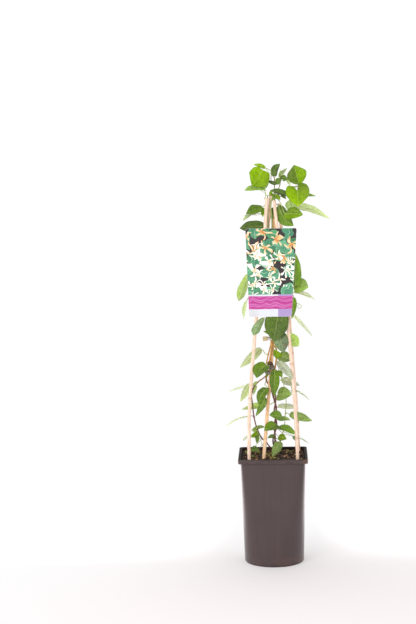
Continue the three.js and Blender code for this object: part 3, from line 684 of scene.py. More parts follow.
def pot_floor(soup, outer, inner):
    """The floor between a ring of the outside and one of the inside, with a drain hole in each corner."""
    drains = [(x * DRAIN_REACH, y * DRAIN_REACH) for x in (-1, 1) for y in (-1, 1)]
    hole = [(DRAIN_RADIUS * math.cos(a), DRAIN_RADIUS * math.sin(a))
            for a in np.linspace(0, math.tau, DRAIN_SIDES, endpoint=False)]
    holes = []
    for slot, z, ring in ((CLEAN, 0.0, outer), (STAINED_SHADED, POT_FLOOR, inner)):
        loops = [[Vector(p) for p in ring]]
        loops += [[Vector(((x + dx) * MM, (y + dy) * MM, z * MM)) for dx, dy in hole] for x, y in drains]
        faces = tessellate_polygon(loops)
        faces = turned_over(faces) if slot == CLEAN else faces
        faces = [face for face in faces if len(set(face)) == 3]
        soup.add([p[:] for loop in loops for p in loop], faces, slot)
        holes.append(loops[1:])
    for low, high in zip(*holes):
        soup.add([p[:] for p in low + high], ring_faces(2, DRAIN_SIDES), CLEAN)


def pot():
    """The whole pot, clean outside, and inside stained by peat and painted darker as shade."""
    levels, edge = pot_levels()
    rings = stack(levels)
    columns = rings.shape[1]
    soup = Soup().add(rings[:edge + 1], ring_faces(edge + 1, columns), CLEAN)
    soup.add(rings[edge:], ring_faces(len(rings) - edge, columns), STAINED_SHADED)
    pot_floor(soup, rings[0], rings[-1])
    plastics = [moulded_polypropylene(), peat_stained_shaded_polypropylene()]
    mend(soup.finish("pot_shell", plastics, "pot_plastic", ["pot"]))


# ---- soil ----

SOIL_RINGS = 44
SOIL_LUMPS = [(1.3, 14, 3), (0.8, 5, 9)]  # the height and the size of its lumps, and their layer of noise
SOIL_SUNK = 0.4
CRUMBS = 620
CRUMB_SIZES = (0.8, 2.1, 3.6)  # half lengths: the smallest, where the coarse ones begin, the largest
CHIPS = 90
CHIP_LENGTHS = (2, 5.5)
MOSS_PATCHES = [(-24, 30, 9), (-6, 8, 8), (17, 41, 11), (33, 38, 8), (-40, -8, 7), (2, -22, 6), (-48, 50, 6)]
MOSS_TUFTS = 22
TUFT_SIZES = (0.9, 2.0)


def soil_height(x, y):
    """The height of the soil's surface at a place, all in millimetres."""
    half = wall(SOIL_TOP)[0]
    share = max(abs(x), abs(y)) / half
    crown = SOIL_CROWN * (1 - share ** 2)
    lumps = sum(high * noise.noise(Vector((x, y, layer)) / size) for high, size, layer in SOIL_LUMPS)
    return SOIL_TOP - SOIL_SUNK + crown + lumps * (1 - 0.4 * share)


def lump_shape(level):
    """A round lump's points and faces, before it is turned and squashed."""
    made = bmesh.new()
    bmesh.ops.create_icosphere(made, subdivisions=level, radius=1.0)
    points = np.array([v.co[:] for v in made.verts])
    faces = [tuple(v.index for v in f.verts) for f in made.faces]
    made.free()
    return points, faces


def crumb(soup, rng, shape, centre, size, slot):
    """One irregular crumb or chip, turned at random. size is its three half lengths in millimetres."""
    points, faces = shape
    jitter = np.array([1 + rng.uniform(-0.22, 0.22) for _ in points])[:, None]
    turn = Matrix.Rotation(rng.uniform(0, math.tau), 3, "Z")
    turn = turn @ Matrix.Rotation(rng.uniform(-0.5, 0.5), 3, "X")
    placed = (points * jitter * np.array(size)) @ np.array(turn).T + np.array(centre)
    soup.add(placed * MM, faces, slot)


def soil_block(peat):
    """The body of peat: it fills the pot to its own gap, and its top is a grid of lumps."""
    body = stack([wall(z, SOIL_INSET) for z in np.linspace(POT_FLOOR + SOIL_GAP, SOIL_TOP - 2, 8)])
    half, corner, _ = wall(SOIL_TOP)
    top = []
    for share in np.linspace(1, 0.02, SOIL_RINGS):
        outline = rounded_square(half - SOIL_INSET, corner - SOIL_INSET) * share
        top.append([(x, y, soil_height(x, y)) for x, y in outline])
    rings = np.concatenate([body, np.array(top) * MM])
    rows, columns = rings.shape[:2]
    soup = Soup().add(rings, ring_faces(rows, columns) + end_faces(rows, columns))
    soup.finish("soil_block", [peat], "potting_peat", ["soil"])


def soil_crumbs(peat):
    """Crumbs of peat, chips of bark and patches of moss that lie on the soil."""
    rng = random.Random(41)
    fine, coarse = lump_shape(1), lump_shape(2)
    smallest, middling, largest = CRUMB_SIZES
    loose = Soup()
    reach = wall(SOIL_TOP)[0] - SOIL_INSET - 3
    for _ in range(CRUMBS):
        x, y = rng.uniform(-reach, reach), rng.uniform(-reach, reach)
        size = rng.uniform(smallest, middling) if rng.random() < 0.8 else rng.uniform(middling, largest)
        crumb(loose, rng, coarse if size > middling else fine, (x, y, soil_height(x, y) + size * 0.25),
              (size, size * rng.uniform(0.6, 1), size * rng.uniform(0.5, 0.8)), 0)
    for _ in range(CHIPS):
        x, y = rng.uniform(-reach, reach), rng.uniform(-reach, reach)
        long = rng.uniform(*CHIP_LENGTHS)
        crumb(loose, rng, fine, (x, y, soil_height(x, y) + 0.7), (long, long * 0.35, 0.7), 1)
    for px, py, spread in MOSS_PATCHES:
        for _ in range(MOSS_TUFTS):
            x, y = rng.gauss(px, spread / 2), rng.gauss(py, spread / 2)
            if max(abs(x), abs(y)) > reach:
                continue
            size = rng.uniform(*TUFT_SIZES)
            crumb(loose, rng, fine, (x, y, soil_height(x, y) + 0.5), (size, size, size * 0.8), 2)
    loose.finish("soil_crumbs", [peat, bark_chip(), soil_moss()], "potting_peat")


def soil():
    """The peat, with its loose bits on it."""
    peat = potting_peat()
    soil_block(peat)
    soil_crumbs(peat)


# ---- canes and stake ----

ROD_SIDES = 12  # of the CAD's canes and stake
CANE_SIDES = 20
STAKE_SIDES = 22
CANE_STEP = 2.2
STAKE_STEP = 2.5
CANE_SLIM, STAKE_SLIM = 0.92, 0.93  # their skins, as a share of the CAD's rods, leave room for relief
CANE_OVAL = 0.02
JOINT_SWELL, JOINT_PINCH = 0.5, 0.35  # how far a joint stands out, and how far it is pinched just above
PINCH_ABOVE = 3.4
CANE_JOINTS = {  # how far up each cane its joints lie, in millimetres
    "cane_front_left": [62, 196, 338, 470], "cane_front_right": [118, 262, 402, 520],
    "cane_back_right": [90, 231, 365, 480], "cane_back_left": [40, 176, 316, 452],
}


def cane(name, joints, material):
    """A cane, slightly oval, with its joints. joints are how far up they lie, in millimetres."""
    line, radius = rod_line(name, ROD_SIDES)
    line = resampled(line, CANE_STEP)
    run = np.linspace(0, run_along(line)[-1], len(line)) / MM
    profile = np.full(len(line), radius * CANE_SLIM)
    joint = np.zeros(len(line))
    for place in joints:
        beside = run - place
        profile += JOINT_SWELL * MM * swell(beside, 1.6) - JOINT_PINCH * MM * swell(beside - PINCH_ABOVE, 1.3)
        joint = np.maximum(joint, swell(beside - 1.2, 2.2))
    angles = np.linspace(0, math.tau, CANE_SIDES, endpoint=False)
    oval = 1 + CANE_OVAL * np.cos(2 * angles + joints[0])
    points, faces = tube(line, profile[:, None] * oval[None], CANE_SIDES)
    soup = Soup().add(points, faces[:-1], joint=np.repeat(joint, CANE_SIDES))
    cut_end(soup, line)
    soup.finish(name + "_skin", [material], "bamboo", [name])


def cut_end(soup, line):
    """A cane's cut end: a ring of wood round a slightly sunken middle."""
    last = soup.count - CANE_SIDES
    edge = soup.points[0][last:]
    ahead = unit(line[-1] - line[-2])
    for share, sink, dark in ((0.55, 0.0, 0.15), (0.42, 0.9, 0.9)):
        soup.add(line[-1] + (edge - line[-1]) * share - ahead * sink * MM, [], joint=dark)
    soup.join(ring_faces(3, CANE_SIDES, start=last) + end_faces(3, CANE_SIDES, start=last)[1:])


def stake():
    """The split stake, with a coarse lengthwise relief and some lumps."""
    line, radius = rod_line("stake", ROD_SIDES)
    line = resampled(line, STAKE_STEP)
    points, faces = tube(line, np.full(len(line), radius * STAKE_SLIM), STAKE_SIDES)
    out = unit(points - np.repeat(line, STAKE_SIDES, axis=0))
    rough = 0.32 * ripple(points * np.array([1, 1, 0.08]), 2.2, 1) + 0.22 * ripple(points, 9, 2)
    points = points + out * rough[:, None] * MM
    Soup().add(points, faces).finish("stake_wood", [split_stake()], "stake_wood", ["stake"])


# ---- stems ----

STEM_SIDES = 6  # of the CAD's stems
STEM_STEP = 1.6
KNUCKLE_REACH = 6  # how near a stem a leaf's foot has to be to swell it
KNUCKLE_SWELL = 0.42  # how much it swells there, as a share of its radius
BARK_RELIEF = 0.14  # as the same share
TAPER_FROM, TAPER_TO = 640, 750  # the heights between which a stem grows thin
STEMS = ["stem_middle", "stem_right", "stem_left", "shoot_back", "shoot_crown", "shoot_label_left",
         "shoot_label_right"]
stem_lines = {}


def stem(name, knuckles, material):
    """A stem's skin, thicker wherever a leaf stalk leaves it. knuckles are those places, in metres."""
    raw, radius = rod_line(name, STEM_SIDES)
    line = resampled(raw, STEM_STEP)
    stem_lines[name] = (line, radius)
    sides = 12 if radius > 1.1 * MM else 9
    profile = np.full(len(line), radius * 1.06)
    for place in knuckles:
        away = np.linalg.norm(line - place, axis=1) / MM
        profile += KNUCKLE_SWELL * radius * swell(away, 2.4) * (away.min() < KNUCKLE_REACH)
    if name.startswith("stem"):
        profile *= np.interp(line[:, 2], [TAPER_FROM * MM, TAPER_TO * MM], [1.0, 0.62])
    else:
        profile *= np.linspace(1.05, 0.8, len(line))
    points, faces = tube(line, profile, sides)
    out = unit(points - np.repeat(line, sides, axis=0))
    rough = ripple(points * np.array([1, 1, 0.18]), 1.3, len(name))
    points = points + out * (rough * BARK_RELIEF * radius)[:, None]
    slot = "stem_bark" if name.startswith("stem") else "shoot_bark"
    Soup().add(points, faces).finish(name + "_bark", [material], slot, [name])


def nearest_stem(point):
    """The nearest point on any stem's middle line, and the stem's radius."""
    best = None
    for line, radius in stem_lines.values():
        away = np.linalg.norm(line - point, axis=1)
        i = away.argmin()
        if best is None or away[i] < best[0]:
            best = (away[i], line[i], radius)
    return best[1:]


# ---- leaves ----

BLADE_ROWS = 40
BLADE_HALF = 9  # columns on each side of the midrib
STALK_STEP = 1.4
STALK_SIDES = 8
RIB_BELOW = 0.42  # how far the stalk, as a midrib, lies below the middle of the blade


def outline_half(share, peak):
    """Half the blade's width, as a share of its widest: round at the base and pointed at the tip."""
    low = np.sqrt(np.maximum(1 - np.abs(1 - share / peak) ** 2.2, 0))
    high = 1 - (np.maximum(share - peak, 0) / (1 - peak)) ** 2
    return np.where(share < peak, low, high)


def stations_of(rings):
    """From a CAD leaf: its stalk's line, and its blade's midrib, two edges and upper direction."""
    middle = (rings[:, 1] + rings[:, 3]) / 2
    blade = len(rings) - len(BLADE_STATIONS)
    stalk = middle[:blade]
    base = stalk[-1] + (middle[blade] - stalk[-1]) * 0.7
    up = unit(rings[blade:, 1] - rings[blade:, 3])
    spine = np.concatenate([[base], middle[blade:]])
    left = np.concatenate([[base], rings[blade:, 0]])
    right = np.concatenate([[base], rings[blade:, 2]])
    return stalk, (spine, left, right, np.concatenate([up[:1], up]))


def small_stations(base, tip, face, wide, bow):
    """The blade's four for a small leaf that is given by its two ends, in millimetres."""
    base, tip, up = (np.array(v, float) for v in (base, tip, face))
    along = unit(tip - base)
    up = unit(up - along * (up @ along))
    left = np.cross(up, along)
    shares = np.array([0.0] + BLADE_STATIONS)
    spine = base + np.outer(shares, tip - base) + np.outer(4 * bow * shares * (1 - shares), up)
    half = wide / 2 * outline_half(shares, SMALL_PEAK)
    half[0], half[-1] = 0, 0.3
    lift = half * math.sin(math.radians(SMALL_FOLD))
    reach = half * math.cos(math.radians(SMALL_FOLD))
    edges = [spine + np.outer(side * reach, left) + np.outer(lift, up) for side in (1, -1)]
    return spine * MM, edges[0] * MM, edges[1] * MM, np.tile(up, (len(shares), 1))


def blade_grid(spine, left, right, up, seed):
    """The middle surface of a blade as rows of points from edge to edge, with its normals and its own
    map: millimetres along the midrib and millimetres out from it."""
    knots = np.sqrt(np.array([0.0] + BLADE_STATIONS))
    t = np.linspace(0.07, 1, BLADE_ROWS)
    mid, one, two = (through(knots, v, t) for v in (spine, left, right))
    ups = unit(through(knots, up, t))
    run = run_along(mid) / MM
    across = np.linspace(-1, 1, 2 * BLADE_HALF + 1)
    across = np.sign(across) * np.abs(across) ** 0.9
    out = np.abs(across)
    rows = []
    widths = []
    for i in range(BLADE_ROWS):
        edge = np.where(across[:, None] < 0, one[i], two[i])
        flat = mid[i] + (edge - mid[i]) * out[:, None]
        half = np.linalg.norm(edge - mid[i], axis=1) / MM
        w = half * out
        dome = DOME * half * np.sin(math.pi * out)
        wave = np.sin(run[i] / WAVE_RUN + np.where(across < 0, seed, seed * 2.3 + 1.9))
        margin = MARGIN_WAVE * half.max() * out ** 3 * wave - MARGIN_CURL * half * out ** 4
        shift = np.where(across > 0, VEIN_SPACING * VEIN_SHIFT, 0)
        start = run[i] - VEIN_SLANT * w - VEIN_ARCH * w ** 2 + shift
        quilt = np.cos(math.tau * (start / VEIN_SPACING - 0.5)) * np.minimum(w / 4, 1) * (1 - out ** 6)
        relief = dome + margin - QUILT_HEIGHT * quilt - RIB_DEPTH * swell(w, RIB_WIDTH)
        rows.append(flat + ups[i] * (relief[:, None] * MM))
        widths.append(w * np.sign(across))
    grid = np.array(rows)
    normal = unit(np.cross(np.gradient(grid, axis=1), np.gradient(grid, axis=0)))
    flip = np.sign((normal * ups[:, None]).sum(-1, keepdims=True).mean())
    return grid, normal * flip, np.array(widths), run, mid, ups


def notch_shift(mid, run, depth, columns):
    """How far each point of a blade slides towards its tip, so that its base has a notch of this depth."""
    reach = 2.5 * depth
    pushed = run + depth * np.clip(1 - run / reach, 0, 1) ** 2
    slid = np.stack([np.interp(pushed, run, mid[:, axis]) for axis in range(3)], axis=1) - mid
    return slid[:, None] * (1 - np.linspace(-1, 1, columns) ** 2)[None, :, None]


def leaf_tone(widths, seed, light, tones):
    """How light each point of a blade is painted, over all, to its right and towards its tip, as the light
    falls on it. A leaf that isn't given these draws them."""
    rng = random.Random(int(seed * 977))
    drawn = 1 + rng.uniform(-0.06, 0.06)
    lean, fade = tones or (rng.uniform(-0.1, 0.1), rng.uniform(-0.12, 0.12))
    return (light or drawn) + lean * np.tanh(widths / 1.5) + fade * np.linspace(-1, 1, len(widths))[:, None]


def rusty_spot(grid, spot):
    """A mask for a rusty spot. spot is how far towards the tip it lies, how far across, from -1 to 1, and
    its size in millimetres."""
    rows, columns = grid.shape[:2]
    if not spot:
        return np.zeros((rows, columns))
    share, side, size = spot
    middle = grid[int(share * (rows - 1)), int((side + 1) / 2 * (columns - 1))]
    return swell(np.linalg.norm(grid - middle, axis=2), size * MM)


def blade_skin(soup, grid, normal, tone, spot):
    """The blade's upper side, its underside and the hem between them."""
    rows, columns = grid.shape[:2]
    count = rows * columns
    out = np.abs(np.linspace(-1, 1, columns))
    thickness = LEAF_THICKNESS * (1 - 0.55 * out ** 3)[None, :, None] * MM / 2
    faces = ring_faces(rows, columns, close=False)
    index = np.arange(count).reshape(rows, columns)
    border = np.concatenate([index[:, 0], index[-1, 1:], index[-2::-1, -1], index[0, -2:0:-1]]).tolist()
    hem = [(i, j, j + count, i + count) for i, j in zip(border, border[1:] + border[:1])]
    a, b, c, _ = (grid.reshape(-1, 3)[i] for i in faces[(rows // 2) * (columns - 1) + columns // 2])
    if np.cross(b - a, c - b) @ normal[rows // 2, columns // 2] < 0:
        faces = turned_over(faces)
    else:
        hem = turned_over(hem)
    # margin marks the leaf's edge, which the leaf material paints in shade.
    looks = {"tone": tone.ravel(), "margin": np.tile(out ** 10, rows)}
    soup.add(grid + normal * thickness, faces, 0, spot=spot.ravel(), **looks)
    soup.add(grid - normal * thickness, turned_over(faces), 1, spot=spot.ravel() * 0.6, **looks)
    soup.join(hem)


def leaf_stalk(stalk, mid, ups, thick):
    """A leaf's stalk. It starts a little way into the stem and runs on below the blade as its midrib."""
    lead = unit(stalk[0] - stalk[1]) * MM
    below = mid - ups * (RIB_BELOW * MM)
    path = np.concatenate([[stalk[0] + lead], stalk, below[3:int(BLADE_ROWS * 0.93):4]])
    line = resampled(path, STALK_STEP)
    along = np.linspace(0, 1, len(line))
    run = run_along(path)
    bare = run[len(stalk)] / run[-1]
    thin = thick * (1 - (along - bare) / (1 - bare)) ** 0.8 * 0.75 + 0.12
    radius = np.where(along < bare, thick, thin)
    radius = radius + 0.4 * swell(along * len(line) * STALK_STEP, 1.6)
    return tube(line, radius * MM, STALK_SIDES)


def blade_map(piece, run, widths):
    """The blade's own map, on both of its sides: its run along the midrib, and how far out from it."""
    count = widths.size
    u = np.repeat(run, widths.shape[1]) / BLADE_SPAN
    flat = np.zeros((len(piece.data.vertices), 2), np.float32)
    flat[:count] = flat[count:2 * count] = np.stack([u, 0.5 + widths.ravel() / BLADE_SPAN], axis=1)
    corner = np.zeros(len(piece.data.loops), np.int32)
    piece.data.loops.foreach_get("vertex_index", corner)
    piece.data.uv_layers.new(name="blade").uv.foreach_set("vector", flat[corner].ravel())


def leaf(name, stalk, blade, finish, seed, thick, slot, stands_for=(), light=None, tones=None, spot=None,
         notch=None):
    """One leaf: a thin closed blade with its own relief, and its stalk."""
    grid, normal, widths, run, mid, ups = blade_grid(*blade, seed)
    if notch:
        grid = grid + notch_shift(mid, run, notch, grid.shape[1])
    soup = Soup()
    blade_skin(soup, grid, normal, leaf_tone(widths, seed, light, tones), rusty_spot(grid, spot))
    soup.add(*leaf_stalk(stalk, mid, ups, thick), 2)
    blade_map(soup.finish(name, finish, slot, stands_for), run, widths)


# Leaf colours, by age and by the light that falls on them, which is painted in; the grey of the silver
# finish and of the dusky one's flush is partly a painted sheen. The columns: flesh, the tone that drifts over
# it, the tone that mottles it and paints the shade beside its veins and at its margin, veins, how much light
# comes through, and the underside.
FINISHES = {
    "bright": ("94ba06", "accd1c", "6e9a04", "c8de62", 0.42, "b6cf7c"),
    "fresh": ("86aa26", "9cbd34", "5c8218", "bad466", 0.38, "b4cd88"),
    "soft": ("9ab65e", "aac670", "6c8e40", "ccdc9c", 0.36, "bccf96"),
    "green": ("7a9e3a", "8cae48", "4e7220", "b0cc72", 0.3, "acc68a"),
    "deep": ("6a8e20", "7c9e30", "3c5a10", "a4c064", 0.24, "9fb986"),
    "dark": ("546e26", "708a44", "2c400c", "94ac6c", 0.18, "8fa97a"),
    "dusky": ("86a064", "a8bc90", "507034", "c4d2b0", 0.28, "a8b896"),
    "pale": ("c4dc84", "d2e698", "9cba5c", "e6f0c8", 0.46, "c8dca4"),
    "celadon": ("cfdcac", "dce6c4", "a2b87c", "ecf2dc", 0.42, "d4deb8"),
    "silver": ("dfe6cf", "e8eedc", "b4c29c", "f2f6e8", 0.4, "e6ecd8"),
}
UNDER_VEINS = "dbe6bc"


def leaf_finish(kind):
    """A leaf's upper side, and its underside, which is duller and has a stronger relief."""
    flesh, flush, shade, veins, glow, under = FINISHES[kind]
    name = f"honeysuckle_leaf_{kind}"
    upper = honeysuckle_leaf(name, flesh, flush, shade, veins, glow, 0.38, 0.5)
    lower = honeysuckle_leaf(name + "_underside", under, under, flesh, UNDER_VEINS, glow, 0.55, 0.7)
    return [upper, lower]


YOUNG, MATURE = "leaf_young", "leaf_mature"  # the two slots that the CAD gives its leaves

# Each leaf of the CAD: its finish, how light it is as a share of that finish, which paints in the light that
# falls on it as well as its own tone, and its slot. Where the light falls unevenly, also how much lighter it
# is painted to its right and towards its tip.
LEAVES = {
    "crown_01": ("bright", 1.12, YOUNG, 0.03, -0.06),
    "crown_02": ("soft", 1.22, MATURE),
    "crown_03": ("dark", 1.10, YOUNG),
    "crown_04": ("fresh", 1.06, MATURE, 0.17, -0.08),
    "crown_05": ("bright", 1.00, YOUNG, 0.12, 0.18),
    "crown_06": ("pale", 0.92, YOUNG, 0.0, 0.05),
    "crown_07": ("celadon", 1.10, YOUNG, 0.05, 0.1),
    "crown_08": ("fresh", 1.04, YOUNG, 0.1, 0.02),
    "crown_09": ("green", 0.96, YOUNG, 0.1, 0.12),
    "crown_10": ("dark", 1.12, MATURE),
    "crown_11": ("deep", 1.14, MATURE),
    "crown_12": ("deep", 0.72, MATURE),
    "crown_13": ("dark", 1.08, MATURE, 0.15, -0.1),
    "label_01": ("green", 1.12, MATURE),
    "label_02": ("soft", 1.10, MATURE, 0.12, 0.1),
    "label_03": ("silver", 1.04, MATURE),
    "label_04": ("green", 1.24, MATURE),
    "label_05": ("pale", 0.92, YOUNG),
    "label_06": ("celadon", 1.18, YOUNG),
    "label_07": ("silver", 1.16, MATURE),
    "label_08": ("deep", 0.86, MATURE, 0.05, -0.12),
    "label_09": ("dusky", 1.14, MATURE, 0.05, 0.15),
    "label_10": ("pale", 1.06, YOUNG),
    "middle_01": ("dusky", 0.96, MATURE, 0.14, -0.14),
    "middle_02": ("soft", 0.92, MATURE),
    "middle_03": ("celadon", 1.00, YOUNG),
    "middle_04": ("deep", 1.04, MATURE, 0.1, -0.1),
    "middle_05": ("silver", 0.84, MATURE),
    "middle_06": ("deep", 1.06, MATURE, -0.1, -0.1),
    "middle_07": ("silver", 0.90, MATURE),
    "lower_01": ("silver", 1.16, MATURE),
    "lower_02": ("celadon", 1.08, YOUNG),
    "lower_03": ("deep", 0.96, MATURE),
    "lower_04": ("green", 1.02, MATURE),
    "lower_05": ("pale", 1.06, YOUNG),
    "lower_06": ("soft", 1.02, MATURE),
    "lower_07": ("silver", 1.02, MATURE),
    "lower_08": ("soft", 1.02, MATURE),
    "lower_09": ("green", 1.08, MATURE),
    "lower_10": ("deep", 1.06, MATURE, 0.1, 0.1),
    "lower_11": ("green", 1.18, MATURE),
    "lower_12": ("silver", 1.20, MATURE),
    "lower_13": ("soft", 0.98, MATURE),
}
LEAF_NOTCHES = {"crown_05": 10.0}  # how deep the notch at a leaf's base is, where it is deep
LEAF_SPOTS = {"lower_07": (0.85, 0.5, 2.6), "middle_01": (0.8, -0.5, 1.6)}

# The smallest leaves: base, tip, the way the upper side looks, width, how far the middle bows up, finish.
SMALL_LEAVES = [
    ((-7, 10, 770), (-30, 24, 778), (0, -0.5, 0.85), 13, 1.5, "bright"),
    ((20, 7, 753), (35, 12, 770), (-0.3, -0.9, 0.2), 8, 1.5, "celadon"),
    ((19, 7, 753), (23, 8, 767), (0.3, -0.9, 0.2), 5, 1, "pale"),
    ((22, 8, 754), (30, 12, 768), (-0.4, -0.9, 0.3), 5, 1, "pale"),
    ((20, 2, 752), (17, -6, 738), (-0.4, -0.85, 0.1), 13, 1, "green"),
    ((22, 3, 750), (35, -6, 750), (0.2, -0.8, 0.5), 13, 3, "deep"),
    ((16, -2, 741), (-4, -12, 747), (0.1, -0.7, 0.7), 11, -3, "dark"),
    ((-20, -1, 732), (0, 2, 746), (0.1, -0.9, 0.3), 18, 1, "pale"),
    ((65, 4, 718), (90, 16, 715), (0, -0.8, 0.6), 8, 1, "soft"),
    ((2, 2, 718), (6, -3, 729), (-0.4, -0.9, 0), 7, 1, "bright"),
    ((11, -5, 719), (21, -14, 709), (0.2, -0.8, 0.5), 10, 2, "bright"),
    ((9, -4, 715), (2, -10, 723), (0, -0.8, 0.5), 7, 1, "fresh"),
    ((-12, 3, 693), (-13, -2, 677), (-0.4, -0.9, 0), 8, 1, "bright"),
    ((-26, 2, 681), (-50, -4, 679), (0, -0.5, 0.85), 8, 2, "silver"),
    ((-35, 0, 683), (-52, -8, 670), (-0.3, -0.7, 0.6), 9, 1, "celadon"),
    ((-3, -22, 450), (-15, -30, 458), (0, -0.7, 0.7), 9, 2, "bright"),
    ((16, -12, 404), (5, -22, 422), (-0.3, -0.9, 0.2), 15, 1, "bright"),
    ((11, -24, 380), (20, -32, 369), (0.2, -0.9, 0.3), 12, 1, "fresh"),
    ((-7, -16, 379), (-10, -22, 366), (0, -0.9, 0.2), 5, 1, "bright"),
    ((-29, -20, 359), (-37, -30, 351), (-0.2, -0.8, 0.4), 6, 1, "pale"),
    ((-30, -22, 351), (-36, -34, 335), (-0.3, -0.9, 0.3), 6, 1, "pale"),
    ((43, 30, 334), (74, 46, 310), (0.2, -0.4, 0.9), 8, 2, "silver"),
    ((15, 4, 283), (35, -6, 280), (0.1, -0.8, 0.6), 10, 1, "soft"),
    ((-16, -10, 268), (-41, -22, 265), (0, -0.6, 0.8), 9, 2, "soft"),
    ((-29, -4, 257), (-41, -14, 262), (0, -0.8, 0.5), 10, 1, "pale"),
    ((-27, -12, 254), (-43, -22, 250), (0.1, -0.9, 0.5), 12, 1.5, "bright"),
    ((-30, -20, 254), (-31, -30, 239), (0.3, -0.9, 0.2), 9, 1, "deep"),
    ((-49, 0, 248), (-59, 10, 237), (0, -0.9, 0.4), 5, 1, "silver"),
    ((-28, 4, 221), (-44, -10, 221), (0, -0.8, 0.6), 16, 1.5, "green"),
    ((-48, -10, 215), (-54, -16, 222), (0, -0.9, 0.3), 5, 0.5, "green"),
    ((11, -4, 247), (27, -14, 244), (0, -0.9, 0.4), 15, 1.5, "bright"),
    ((4, 0, 248), (-10, -12, 246), (0, -0.8, 0.6), 9, 1.5, "green"),
    ((3, -6, 223), (3, -10, 236), (0, -0.95, 0.1), 8, 1, "bright"),
    ((40, 10, 246), (46, 4, 236), (0, -0.9, 0.3), 7, 1, "dusky"),
    ((50, 20, 240), (72, 40, 224), (0.2, -0.5, 0.8), 6, 1, "silver"),
    ((34, 4, 751), (41, -3, 736), (0.2, -0.95, 0.1), 8, 1, "celadon"),
    ((27, 0, 746), (38, -8, 752), (0, -0.9, 0.4), 7, 1, "green"),
    ((23, -8, 721), (32, -13, 711), (0.1, -0.9, 0.3), 8, 1, "dark"),
    ((13, -9, 717), (6, -15, 709), (-0.1, -0.9, 0.3), 7, 1, "green"),
]
SMALL_SPOTS = {30: (0.6, 0.3, 1.4)}  # a rusty spot, by the leaf's place in the list


def leaves(stalk_skin):
    """The CAD's leaves, each in its node's place, then the smallest ones, on the nearest stem."""
    finishes = {kind: leaf_finish(kind) + [stalk_skin] for kind in FINISHES}
    for i, (name, (kind, light, slot, *tones)) in enumerate(LEAVES.items()):
        stalk, blade = stations_of(leaf_rings("leaf_" + name))
        leaf("blade_" + name, stalk, blade, finishes[kind], i + 1.3, STALK_RADIUS, slot, ["leaf_" + name],
             light, tones, LEAF_SPOTS.get(name), LEAF_NOTCHES.get(name))
    for i, (base, tip, face, wide, bow, kind) in enumerate(SMALL_LEAVES):
        blade = small_stations(base, tip, face, wide, bow)
        foot = blade[0][0]
        at, radius = nearest_stem(foot)
        start = at + unit(foot - at) * radius * 0.8
        stalk = np.array([start, start + (foot - start) * 0.55 + np.array([0, 0, 0.6 * MM])])
        leaf(f"small_leaf_{i + 1:02d}", stalk, blade, finishes[kind], i + 60.7, SMALL_STALK_RADIUS, YOUNG,
             spot=SMALL_SPOTS.get(i))


# ---- twigs and tendrils ----

# Thin growths without leaves: radius at the foot and at the tip, skin, and their line.
TWIGS = {
    "tendril_label": (0.75, 0.4, "green", [
        (46, -2, 512), (50, -4, 509), (56, -4, 507), (59, -5, 503),
        (57, -6, 499), (53, -6, 500), (52, -5, 504), (55, -4, 507)]),
    "twig_middle": (0.8, 0.6, "green", [
        (29, 22, 360), (33, 21, 353), (37, 20, 344), (39, 20, 335), (37, 22, 327)]),
    "stub_left": (1.5, 1.3, "bark", [(-21, 0, 243), (-14, -4, 238), (-10, -8, 233), (-6, -12, 229)]),
    "stub_middle": (0.9, 0.8, "bark", [(4, 10, 240), (7, 4, 236), (9, -2, 233), (9, -5, 230)]),
    "twig_left": (0.6, 0.5, "green", [
        (-26, -4, 252), (-24, -8, 244), (-22, -10, 236), (-18, -8, 226), (-15, -4, 214)]),
    "twig_leaf": (0.6, 0.6, "green", [
        (8, 6, 262), (14, 2, 258), (19, 0, 252), (16, -4, 241), (14.5, -5.5, 238)]),
}
TWIG_SIDES = 10


def twigs(bark, green):
    """Each twig and tendril, from the middle of the nearest stem."""
    skins = {"green": (green, "shoot_bark"), "bark": (bark, "stem_bark")}
    for name, (thick, thin, skin, route) in TWIGS.items():
        points = np.array(route, float) * MM
        line = resampled(np.concatenate([[nearest_stem(points[0])[0]], points]), 1.0)
        radii = np.linspace(thick, thin, len(line)) * MM
        radii *= 1 + 0.08 * ripple(line, 3, len(name))
        material, slot = skins[skin]
        Soup().add(*tube(line, radii, TWIG_SIDES)).finish(name, [material], slot)


# ---- label and ties ----

PETAL_WAIST = 0.16  # how far out the gaps between two petals begin, as a share of a petal
FLOWER_SPREAD = 80.0  # millimetres above or below the thickest height within which the flowers thin out


def print_spots(tree, place, size, shift):
    """Scattered points on the print, about one in each square of this size. Gives the way from the
    nearest one, in millimetres, and three random numbers of that point's own."""
    moved = node(tree, "VectorMath", place, (shift, shift * 0.7, 0), operation="ADD")
    nearest = node(tree, "TexVoronoi", moved, named={"Scale": PRINT_SPAN / size, "Randomness": 0.85},
                   voronoi_dimensions="2D", out="Position")
    away = node(tree, "VectorMath", moved, nearest, operation="SUBTRACT")
    away = node(tree, "VectorMath", away, (PRINT_SPAN,) * 3, operation="MULTIPLY")
    parts = node(tree, "SeparateXYZ", away).node.outputs
    lots = node(tree, "SeparateColor", nearest.node.outputs["Color"]).node.outputs
    return parts[0], parts[1], lots


